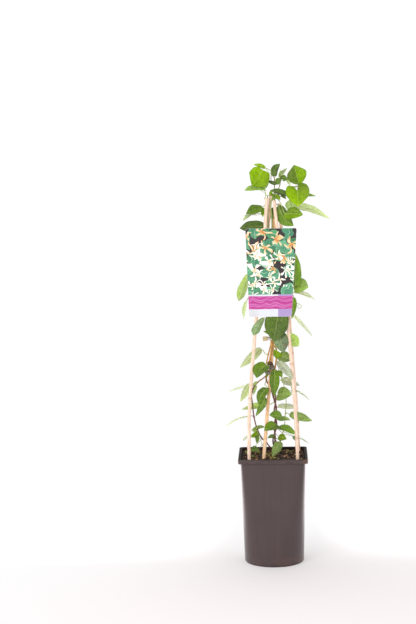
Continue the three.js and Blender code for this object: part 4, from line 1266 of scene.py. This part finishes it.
def printed_leaves(tree, place, below, size, shift, half_length, half_width, stops):
    """Pointed printed leaves that lie at random angles, with a midrib, side veins and a darker half."""
    x, y, lots = print_spots(tree, place, size, shift)
    angle = node(tree, "Math", lots[0], math.tau, operation="MULTIPLY")
    cos = node(tree, "Math", angle, operation="COSINE")
    sin = node(tree, "Math", angle, operation="SINE")
    along = node(tree, "Math", y, sin, operation="MULTIPLY")
    along = node(tree, "Math", x, cos, along, operation="MULTIPLY_ADD")
    upwards = node(tree, "Math", y, cos, operation="MULTIPLY")
    side = node(tree, "Math", x, sin, operation="MULTIPLY")
    side = node(tree, "Math", upwards, side, operation="SUBTRACT")
    out = node(tree, "Math", side, operation="ABSOLUTE")
    length_share = node(tree, "Math", along, half_length, operation="DIVIDE")
    width_share = node(tree, "Math", out, half_width, operation="DIVIDE")
    lens = node(tree, "Math", length_share, length_share, width_share, operation="MULTIPLY_ADD")
    inside = node(tree, "Math", lens, 0.95, operation="LESS_THAN")
    tone = node(tree, "Mix", 0.7, named={2: lens, 3: lots[1]})
    flesh = node(tree, "ValToRGB", tone, stops=stops)
    far_half = node(tree, "Math", side, 0.0, operation="GREATER_THAN")
    slant = node(tree, "Math", out, 0.8, along, operation="MULTIPLY_ADD")
    turn = node(tree, "Math", slant, 0.2, operation="MULTIPLY")
    turn = node(tree, "Math", turn, operation="FRACT")
    side_veins = node(tree, "Math", turn, 0.5, 0.05, operation="COMPARE")
    midrib = node(tree, "Math", out, 0.4, operation="LESS_THAN")
    flesh = coated(tree, flesh, (far_half, 0.3, "17503a"), (side_veins, 0.25, "c4e6cc"),
                   (midrib, 0.6, "c4e6cc"))
    return coated(tree, below, (inside, 1.0, flesh))


def printed_flowers(tree, place, high, below, size, shift, reach, petals, thickest, stops):
    """Printed flowers with thin, curved petals. Most of them stand near the height named thickest."""
    x, y, lots = print_spots(tree, place, size, shift)
    square = node(tree, "Math", y, y, operation="MULTIPLY")
    square = node(tree, "Math", x, x, square, operation="MULTIPLY_ADD")
    radius = node(tree, "Math", square, operation="SQRT")
    start = node(tree, "Math", lots[0], math.tau, operation="MULTIPLY")
    curved = node(tree, "Math", radius, 0.11, start, operation="MULTIPLY_ADD")
    angle = node(tree, "Math", y, x, operation="ARCTAN2")
    spun = node(tree, "Math", angle, petals / 2, curved, operation="MULTIPLY_ADD")
    ray = node(tree, "Math", spun, operation="COSINE")
    ray = node(tree, "Math", ray, operation="ABSOLUTE")
    ray = node(tree, "Math", ray, 4.0, operation="POWER")
    petal = node(tree, "Math", ray, 1 - PETAL_WAIST, PETAL_WAIST, operation="MULTIPLY_ADD")
    grown = node(tree, "Math", lots[1], 0.4 * reach, 0.75 * reach, operation="MULTIPLY_ADD")
    edge = node(tree, "Math", petal, grown, operation="MULTIPLY")
    inside = node(tree, "Math", radius, edge, operation="LESS_THAN")
    away = node(tree, "Math", high, thickest, operation="SUBTRACT")
    away = node(tree, "Math", away, operation="ABSOLUTE")
    wanted = node(tree, "Math", away, -1 / FLOWER_SPREAD, 0.9, operation="MULTIPLY_ADD")
    kept = node(tree, "Math", lots[2], wanted, operation="LESS_THAN")
    flesh = node(tree, "ValToRGB", node(tree, "Math", radius, reach, operation="DIVIDE"), stops=stops)
    return coated(tree, below, (node(tree, "Math", inside, kept, operation="MULTIPLY"), 1.0, flesh))


TEAL = [(0.0, "2e7252"), (0.35, "3c8a64"), (0.6, "64ac80"), (0.9, "9ed4b2")]
GRASS = [(0.0, "2a6640"), (0.4, "3a8450"), (0.7, "529c66"), (0.9, "74ba8a")]
ORANGE = [(0.0, "c9702f"), (0.3, "f0b878"), (0.7, "fbe3bd"), (1.0, "f3b577")]
CREAM = [(0.0, "e9a860"), (0.25, "fff3dd"), (0.75, "ffffff"), (1.0, "fbe0b8")]
# The layers of the print, from the lowest up: how far apart its leaves stand, how the layer is shifted, a
# leaf's half length and half width, and its inks.
LEAF_LAYERS = [(36, 0.31, 19, 12, TEAL), (31, 0.77, 15, 9, GRASS), (44, 0.12, 20, 12, TEAL)]
# Over them the flowers: the same two, then the longest petal, how many there are, how far up the label
# most of the flowers stand, and their inks.
FLOWER_LAYERS = [
    (31, 0.53, 15, 5, 125, ORANGE), (35, 0.23, 16, 4, 100, CREAM), (25, 0.91, 11, 6, 85, CREAM),
    (29, 0.67, 13, 5, 80, CREAM),
]


def laminated_card():
    """A laminated plant label. A glossy film lies over a printed picture of leaves and spidery flowers on
    a dark ground, a magenta band with paler swirls, and white card with lilac corners."""
    material, tree, shader = new_material("laminated_card", Roughness=0.28, IOR=1.5)
    uv = node(tree, "UVMap", uv_map="print")
    parts = node(tree, "SeparateXYZ", uv).node.outputs
    across = node(tree, "Math", parts[0], PRINT_SPAN, -PRINT_SPAN / 2, operation="MULTIPLY_ADD")
    high = node(tree, "Math", parts[1], PRINT_SPAN, operation="MULTIPLY")
    ground = node(tree, "ValToRGB", node(tree, "TexNoise", uv, named={"Scale": 14.0}),
                  stops=[(0.42, "2b2022"), (0.52, "34302f"), (0.6, "2a2628")])
    sway = node(tree, "TexNoise", uv, named={"Scale": 13.0, "Detail": 1.0}, out="Color")
    sway = node(tree, "VectorMath", sway, (0.5, 0.5, 0.5), operation="SUBTRACT")
    place = node(tree, "VectorMath", sway, (0.09, 0.09, 0), uv, operation="MULTIPLY_ADD")
    colour = ground
    for layer in LEAF_LAYERS:
        colour = printed_leaves(tree, place, colour, *layer)
    for layer in FLOWER_LAYERS:
        colour = printed_flowers(tree, place, high, colour, *layer)

    swirl = node(tree, "TexWave", uv, named={
        "Scale": 7.0, "Distortion": 8.0, "Detail": 1.5, "Detail Scale": 1.2}, wave_type="RINGS", out="Fac")
    magenta = node(tree, "ValToRGB", swirl,
                   stops=[(0.0, "b4348a"), (0.45, "c04e9a"), (0.75, "d27fb8"), (1.0, "ba4293")])
    # Painted shadow: the card's left end is greyed where a cane behind it shows through.
    beside_cane = node(tree, "Math", across, LABEL_CANE, operation="ADD")
    shadow = node(tree, "MapRange", beside_cane, 8.0, 1.0)
    lilac = node(tree, "Math", across, LILAC_EDGE, operation="GREATER_THAN")
    card = coated(tree, ink("d9dbe2"), (shadow, 0.6, "c9c8cc"), (lilac, 1.0, "a893c4"))
    plain = node(tree, "Math", high, LABEL_PICTURE, operation="LESS_THAN")
    band = node(tree, "Math", high, (LABEL_BAND + LABEL_STRIP) / 2, (LABEL_BAND - LABEL_STRIP) / 2,
                operation="COMPARE")
    colour = coated(tree, colour, (plain, 1.0, card), (band, 1.0, magenta))
    return finished(material, tree, shader, colour)


def plain_card():
    """The back and the cut edge of the label: white card with a faint fibre."""
    material, tree, shader = new_material("plain_card", Roughness=0.6)
    base = coated(tree, ink("f2f1ee"), (grain_of(tree, 2.0), 1.0, "fbfaf8"))
    return finished(material, tree, shader, base)


def label_axes(points):
    """The label's own directions: to its right, up its face, and out of its printed side."""
    out = np.linalg.svd(points - points.mean(0), full_matrices=False)[2][2]
    out = -out if out[1] > 0 else out
    up = unit(np.array([0, 0, 1.0]) - out * out[2])
    return np.cross(up, out), up, out


def label():
    """The label's card, a little bevelled, with the print's map on it."""
    points, _ = corners_and_faces("label")
    right, up, out = label_axes(points)
    flat = np.stack([points @ right, points @ up, points @ out], axis=1)
    front, back = flat[:, 2].max(), flat[:, 2].min()
    outline = flat[np.abs(flat[:, 2] - front) < 0.1 * MM][:, :2]
    away = outline - outline.mean(0)
    outline = outline[np.argsort(np.arctan2(away[:, 1], away[:, 0]))]
    middle = outline.mean(0)
    shrunk = middle + (outline - middle) * 0.997
    inner = [middle + (shrunk - middle) * share for share in np.linspace(1, 0.03, LABEL_ROWS)]
    columns = len(outline)

    def placed(ring, depth):
        return ring[:, :1] * right + ring[:, 1:] * up + depth * out

    soup = Soup()
    printed = [placed(ring, front) for ring in inner]
    soup.add(printed, ring_faces(LABEL_ROWS, columns) + end_faces(LABEL_ROWS, columns)[1:])
    bevel = LABEL_BEVEL * MM
    plain = [placed(shrunk, front), placed(outline, front - bevel), placed(outline, back + bevel)]
    plain += [placed(ring, back) for ring in inner]
    faces = ring_faces(len(plain), columns) + end_faces(len(plain), columns)[1:]
    soup.add(plain, turned_over(faces), 1)
    cards = [laminated_card(), plain_card()]
    piece = soup.finish("label_card", cards, "label_sheet", ["label"], smooth=False)
    mend(piece)

    foot = flat[flat[:, 1] < flat[:, 1].min() + 0.5 * MM]
    centre = (foot[:, 0].min() + foot[:, 0].max()) / 2
    layer = piece.data.uv_layers.new(name="print")
    for loop in piece.data.loops:
        at = np.array(piece.data.vertices[loop.vertex_index].co)
        across, high = at @ right - centre, at @ up - flat[:, 1].min()
        layer.uv[loop.index].vector = (across / MM / PRINT_SPAN + 0.5, high / MM / PRINT_SPAN)


def tie_tab(low, high, right, depth):
    """A tie's tab, from its left end to where it joins the tie: a thin, bent strip, narrower to the left."""
    made = bmesh.new()
    bmesh.ops.create_grid(made, x_segments=TAB_CELLS, y_segments=TAB_CELLS, size=0.5)
    flat = np.array([v.co[:] for v in made.verts])
    faces = [tuple(v.index for v in f.verts) for f in made.faces]
    made.free()
    points = []
    for side in (-TAB_HALF, TAB_HALF):
        for across, up, _ in flat:
            bend = 0.5 * math.sin(up * 2.4)
            narrowed = (high[2] - low[2]) * (1 - 0.12 * (0.5 - across))
            points.append((low[0] + (across + 0.5) * (right - low[0]), depth + (side + bend) * MM,
                           low[2] + (up + 0.5) * narrowed))
    count = len(flat)
    faces += [tuple(c + count for c in face) for face in turned_over(faces)]
    edge = [i for i, place in enumerate(flat) if np.abs(place).max() > 0.499]
    edge.sort(key=lambda i: math.atan2(flat[i][1], flat[i][0]))
    faces += [(i, i + count, j + count, j) for i, j in zip(edge, edge[1:] + edge[:1])]
    return points, faces


def ring_band(name, materials, slot, tab=False):
    """A flat tie round the stake and the stems, with softened edges and, on one, a tab on its left."""
    low, high = (np.array(v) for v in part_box(name))
    lift = (high[2] - low[2] - TIE_WIDTH * MM) / 2 if tab else 0.0
    radius = (high[1] - low[1]) / 2
    centre = np.array([high[0] - radius, (low[1] + high[1]) / 2, low[2] + lift])
    height = high[2] - low[2] - 2 * lift
    thick, soft = TIE_THICKNESS * MM, TIE_SOFT * MM
    profile = [(-thick + soft, 0), (-soft, 0), (0, soft), (0, height - soft), (-soft, height),
               (-thick + soft, height), (-thick, height - soft), (-thick, soft)]
    points = []
    for a in np.linspace(0, math.tau, TIE_TURNS, endpoint=False):
        way = np.array([math.cos(a), math.sin(a), 0])
        points += [centre + way * (radius + r) + np.array([0, 0, z]) for r, z in profile]
    n = len(profile)
    faces = []
    for i in range(TIE_TURNS):
        here, onward = i * n, (i + 1) % TIE_TURNS * n
        faces += [(here + j, onward + j, onward + (j + 1) % n, here + (j + 1) % n) for j in range(n)]
    soup = Soup().add(points, faces)
    if tab:
        soup.add(*tie_tab(low, high, centre[0] - radius + 0.7 * MM, centre[1] - MM), len(materials) - 1)
    mend(soup.finish(name + "_strip", materials, slot, [name]))


KNOT_LOOPS = 9
KNOT_SIDES = 8
KNOT_SECTION = (1.5, 0.4)  # half the width and half the thickness of the twisted strip
KNOT_HEIGHT = 14


def tie_knot(tie, withered):
    """The loose ends of the lower tie, twisted into a ragged knot with a few withered bud scales."""
    low, high = (np.array(v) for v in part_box("tie_lower"))
    middle = np.array([(low[0] + high[0]) / 2 + 1 * MM, low[1] + 3 * MM, high[2]])
    rng = random.Random(9)
    soup = Soup()
    corners = np.linspace(0, math.tau, KNOT_SIDES, endpoint=False)
    wide, thin = KNOT_SECTION
    section = 1 / np.sqrt((np.cos(corners) / wide) ** 2 + (np.sin(corners) / thin) ** 2) * MM
    for i in range(KNOT_LOOPS):
        share = i / (KNOT_LOOPS - 1)
        turn = Matrix.Rotation(rng.uniform(0, math.tau), 3, "Z")
        turn = turn @ Matrix.Rotation(rng.uniform(0.5, 1.5), 3, "X")
        radius = rng.uniform(2.2, 4.4) * MM
        centre = middle + np.array([rng.uniform(-3, 3), rng.uniform(-1, 2), 3 + share * KNOT_HEIGHT]) * MM
        open_end = rng.uniform(3.6, 5.6)
        loop = [(radius * math.cos(a), radius * 1.3 * math.sin(a), a * 0.3 * MM)
                for a in np.linspace(0, open_end, 18)]
        line = np.array(loop) @ np.array(turn).T + centre
        soup.add(*tube(line, np.tile(section, (len(line), 1)), KNOT_SIDES), 0 if share < 0.45 else 1)
    soup.finish("tie_lower_knot", [tie, withered], "tie_grey")


# ---- studio ----

LENS = 87.06
WHITE = (1, 1, 1, 1)
SMOOTH = {"interpolation_type": "SMOOTHSTEP"}
PLANT_MIDDLE = (0, 0, 0.4)  # metres, as are the next two
FLOOR_REACH = 9.0
DOME_RADIUS = 20.0
POOL_STRENGTH = 1.8


def camera():
    """Stands nearly three metres in front, a little to the right, and looks slightly down."""
    place = Vector((15.7, -2919, 798)) * MM
    yaw, pitch, roll = math.radians(2.71), math.radians(5.94), math.radians(-1.08)
    level = Vector((-math.sin(yaw), math.cos(yaw), 0))
    right = Vector((math.cos(yaw), math.sin(yaw), 0))
    ahead = level * math.cos(pitch) - Vector((0, 0, math.sin(pitch)))
    above = level * math.sin(pitch) + Vector((0, 0, math.cos(pitch)))
    x = right * math.cos(roll) + above * math.sin(roll)
    y = above * math.cos(roll) - right * math.sin(roll)
    data = bpy.data.cameras.new("camera")
    data.lens = LENS
    data.sensor_width = 36
    data.clip_end = 3 * DOME_RADIUS
    seen = bpy.data.objects.new("camera", data)
    seen.matrix_world = Matrix.Translation(place) @ Matrix((x, y, -ahead)).transposed().to_4x4()
    bpy.context.scene.collection.objects.link(seen)
    bpy.context.scene.camera = seen


def softbox(name, place, aim, size, power):
    """A soft rectangular lamp, in metres and watts, that the camera doesn't see."""
    data = bpy.data.lights.new(name, "AREA")
    data.shape = "RECTANGLE"
    data.size, data.size_y = size
    data.energy = power
    lamp = bpy.data.objects.new(name, data)
    lamp.location = place
    lamp.rotation_euler = (Vector(aim) - Vector(place)).to_track_quat("-Z", "Y").to_euler()
    lamp.visible_camera = False
    bpy.context.scene.collection.objects.link(lamp)


def staged(name, mesh, material):
    """Stands a mesh of the studio's own in the scene."""
    mesh.materials.append(material)
    made = bpy.data.objects.new(name, mesh)
    bpy.context.scene.collection.objects.link(made)
    return made


def daylight():
    """Even white light, stronger from behind than from the front."""
    scene = bpy.context.scene
    scene.world = bpy.data.worlds.new("studio")
    scene.world.use_nodes = True
    tree = scene.world.node_tree
    tree.nodes.clear()
    way = node(tree, "SeparateXYZ", node(tree, "TexCoord", out="Generated"), out=1)
    strength = node(tree, "MapRange", way, -1.0, 1.0, 0.48, 1.1)
    node(tree, "OutputWorld", node(tree, "Background", WHITE, strength))


def studio_floor():
    """A matt sheet round the pot that fades into white that glows, though it is no lamp: painted light for a
    lit floor. It glows brightest in a pool beside the pot and a little behind it, and the pot's rounded
    corners mirror that."""
    material, tree, shader = new_material("studio_floor", Roughness=0.85, Specular_IOR_Level=0.1)
    shader.inputs["Base Color"].default_value = ink("f8f1f2")
    place = node(tree, "TexCoord", out="Object")
    away = node(tree, "VectorMath", place, (0.08, -0.4, 0), operation="DISTANCE").node.outputs["Value"]
    fade = node(tree, "MapRange", away, 0.16, 0.8, **SMOOTH)
    across, depth, _ = node(tree, "SeparateXYZ", place).node.outputs
    outwards = node(tree, "Math", across, operation="ABSOLUTE")
    near = node(tree, "MapRange", away, 1.6, 2.0, 1.0, 0.0)
    behind = node(tree, "MapRange", depth, -0.05, 0.3, **SMOOTH)
    beside = node(tree, "MapRange", outwards, 0.08, 0.28, **SMOOTH)
    # Painted light: a brighter, faintly pink pool of glow beside and behind the pot.
    pool = node(tree, "Math", near, behind, operation="MULTIPLY")
    pool = node(tree, "Math", pool, beside, operation="MULTIPLY")
    blush = node(tree, named={0: pool, 6: WHITE, 7: (1, 0.88, 0.9, 1)}, **BLEND)
    strength = node(tree, "Math", pool, POOL_STRENGTH, 1.0, operation="MULTIPLY_ADD")
    white = node(tree, "Emission", blush, strength)
    node(tree, "OutputMaterial", node(tree, "MixShader", fade, shader.outputs[0], white))
    mesh = bpy.data.meshes.new("floor")
    corners = [(x * FLOOR_REACH, y * FLOOR_REACH, 0) for x, y in ((-1, -1), (1, -1), (1, 1), (-1, 1))]
    mesh.from_pydata(corners, [], [(0, 1, 2, 3)])
    staged("floor", mesh, material)


def backdrop():
    """A white dome far behind everything, which only the camera sees."""
    material, tree, shader = new_material("studio_backdrop")
    tree.nodes.remove(shader)
    node(tree, "OutputMaterial", node(tree, "Emission", WHITE, 1.05))
    mesh = bpy.data.meshes.new("backdrop")
    made = bmesh.new()
    bmesh.ops.create_icosphere(made, subdivisions=4, radius=DOME_RADIUS)
    made.to_mesh(mesh)
    made.free()
    dome = staged("backdrop", mesh, material)
    for ray in ("diffuse", "glossy", "transmission", "volume_scatter", "shadow"):
        setattr(dome, f"visible_{ray}", False)


def studio():
    """A bright white room, shown without a film look."""
    view = bpy.context.scene.view_settings
    view.view_transform = "Standard"
    view.look = "None"
    daylight()
    softbox("key", (-1.5, -3.0, 1.5), PLANT_MIDDLE, (2.2, 2.2), 70)
    softbox("fill", (2.0, -2.4, 1.2), PLANT_MIDDLE, (1.6, 1.6), 14)
    studio_floor()
    backdrop()


# ---- the plant ----

camera()
studio()
pot()
soil()
bamboo = bamboo_cane()
for cane_name, cane_joints in CANE_JOINTS.items():
    cane(cane_name, cane_joints, bamboo)
stake()
woody_bark, shoot_skin = vine_bark(), green_shoot()
leaf_feet = [leaf_rings("leaf_" + leaf_name)[0].mean(0) for leaf_name in LEAVES]
for stem_name in STEMS:
    stem(stem_name, leaf_feet, woody_bark if stem_name.startswith("stem") else shoot_skin)
leaves(shoot_skin)
twigs(woody_bark, shoot_skin)
label()
grey_tie = soft_polythene("grey_polythene", "6c685c", "948f7e")
beige_tie = soft_polythene("beige_polythene", "c4ae80", "dccaa0")
pale_tie = soft_polythene("pale_polythene", "a9a49a", "c4bfb4")
ring_band("tie_upper", [pale_tie, beige_tie], "tie_beige", tab=True)
ring_band("tie_lower", [grey_tie], "tie_grey")
tie_knot(grey_tie, soft_polythene("withered_bract", "2c1e12", "5a4024"))
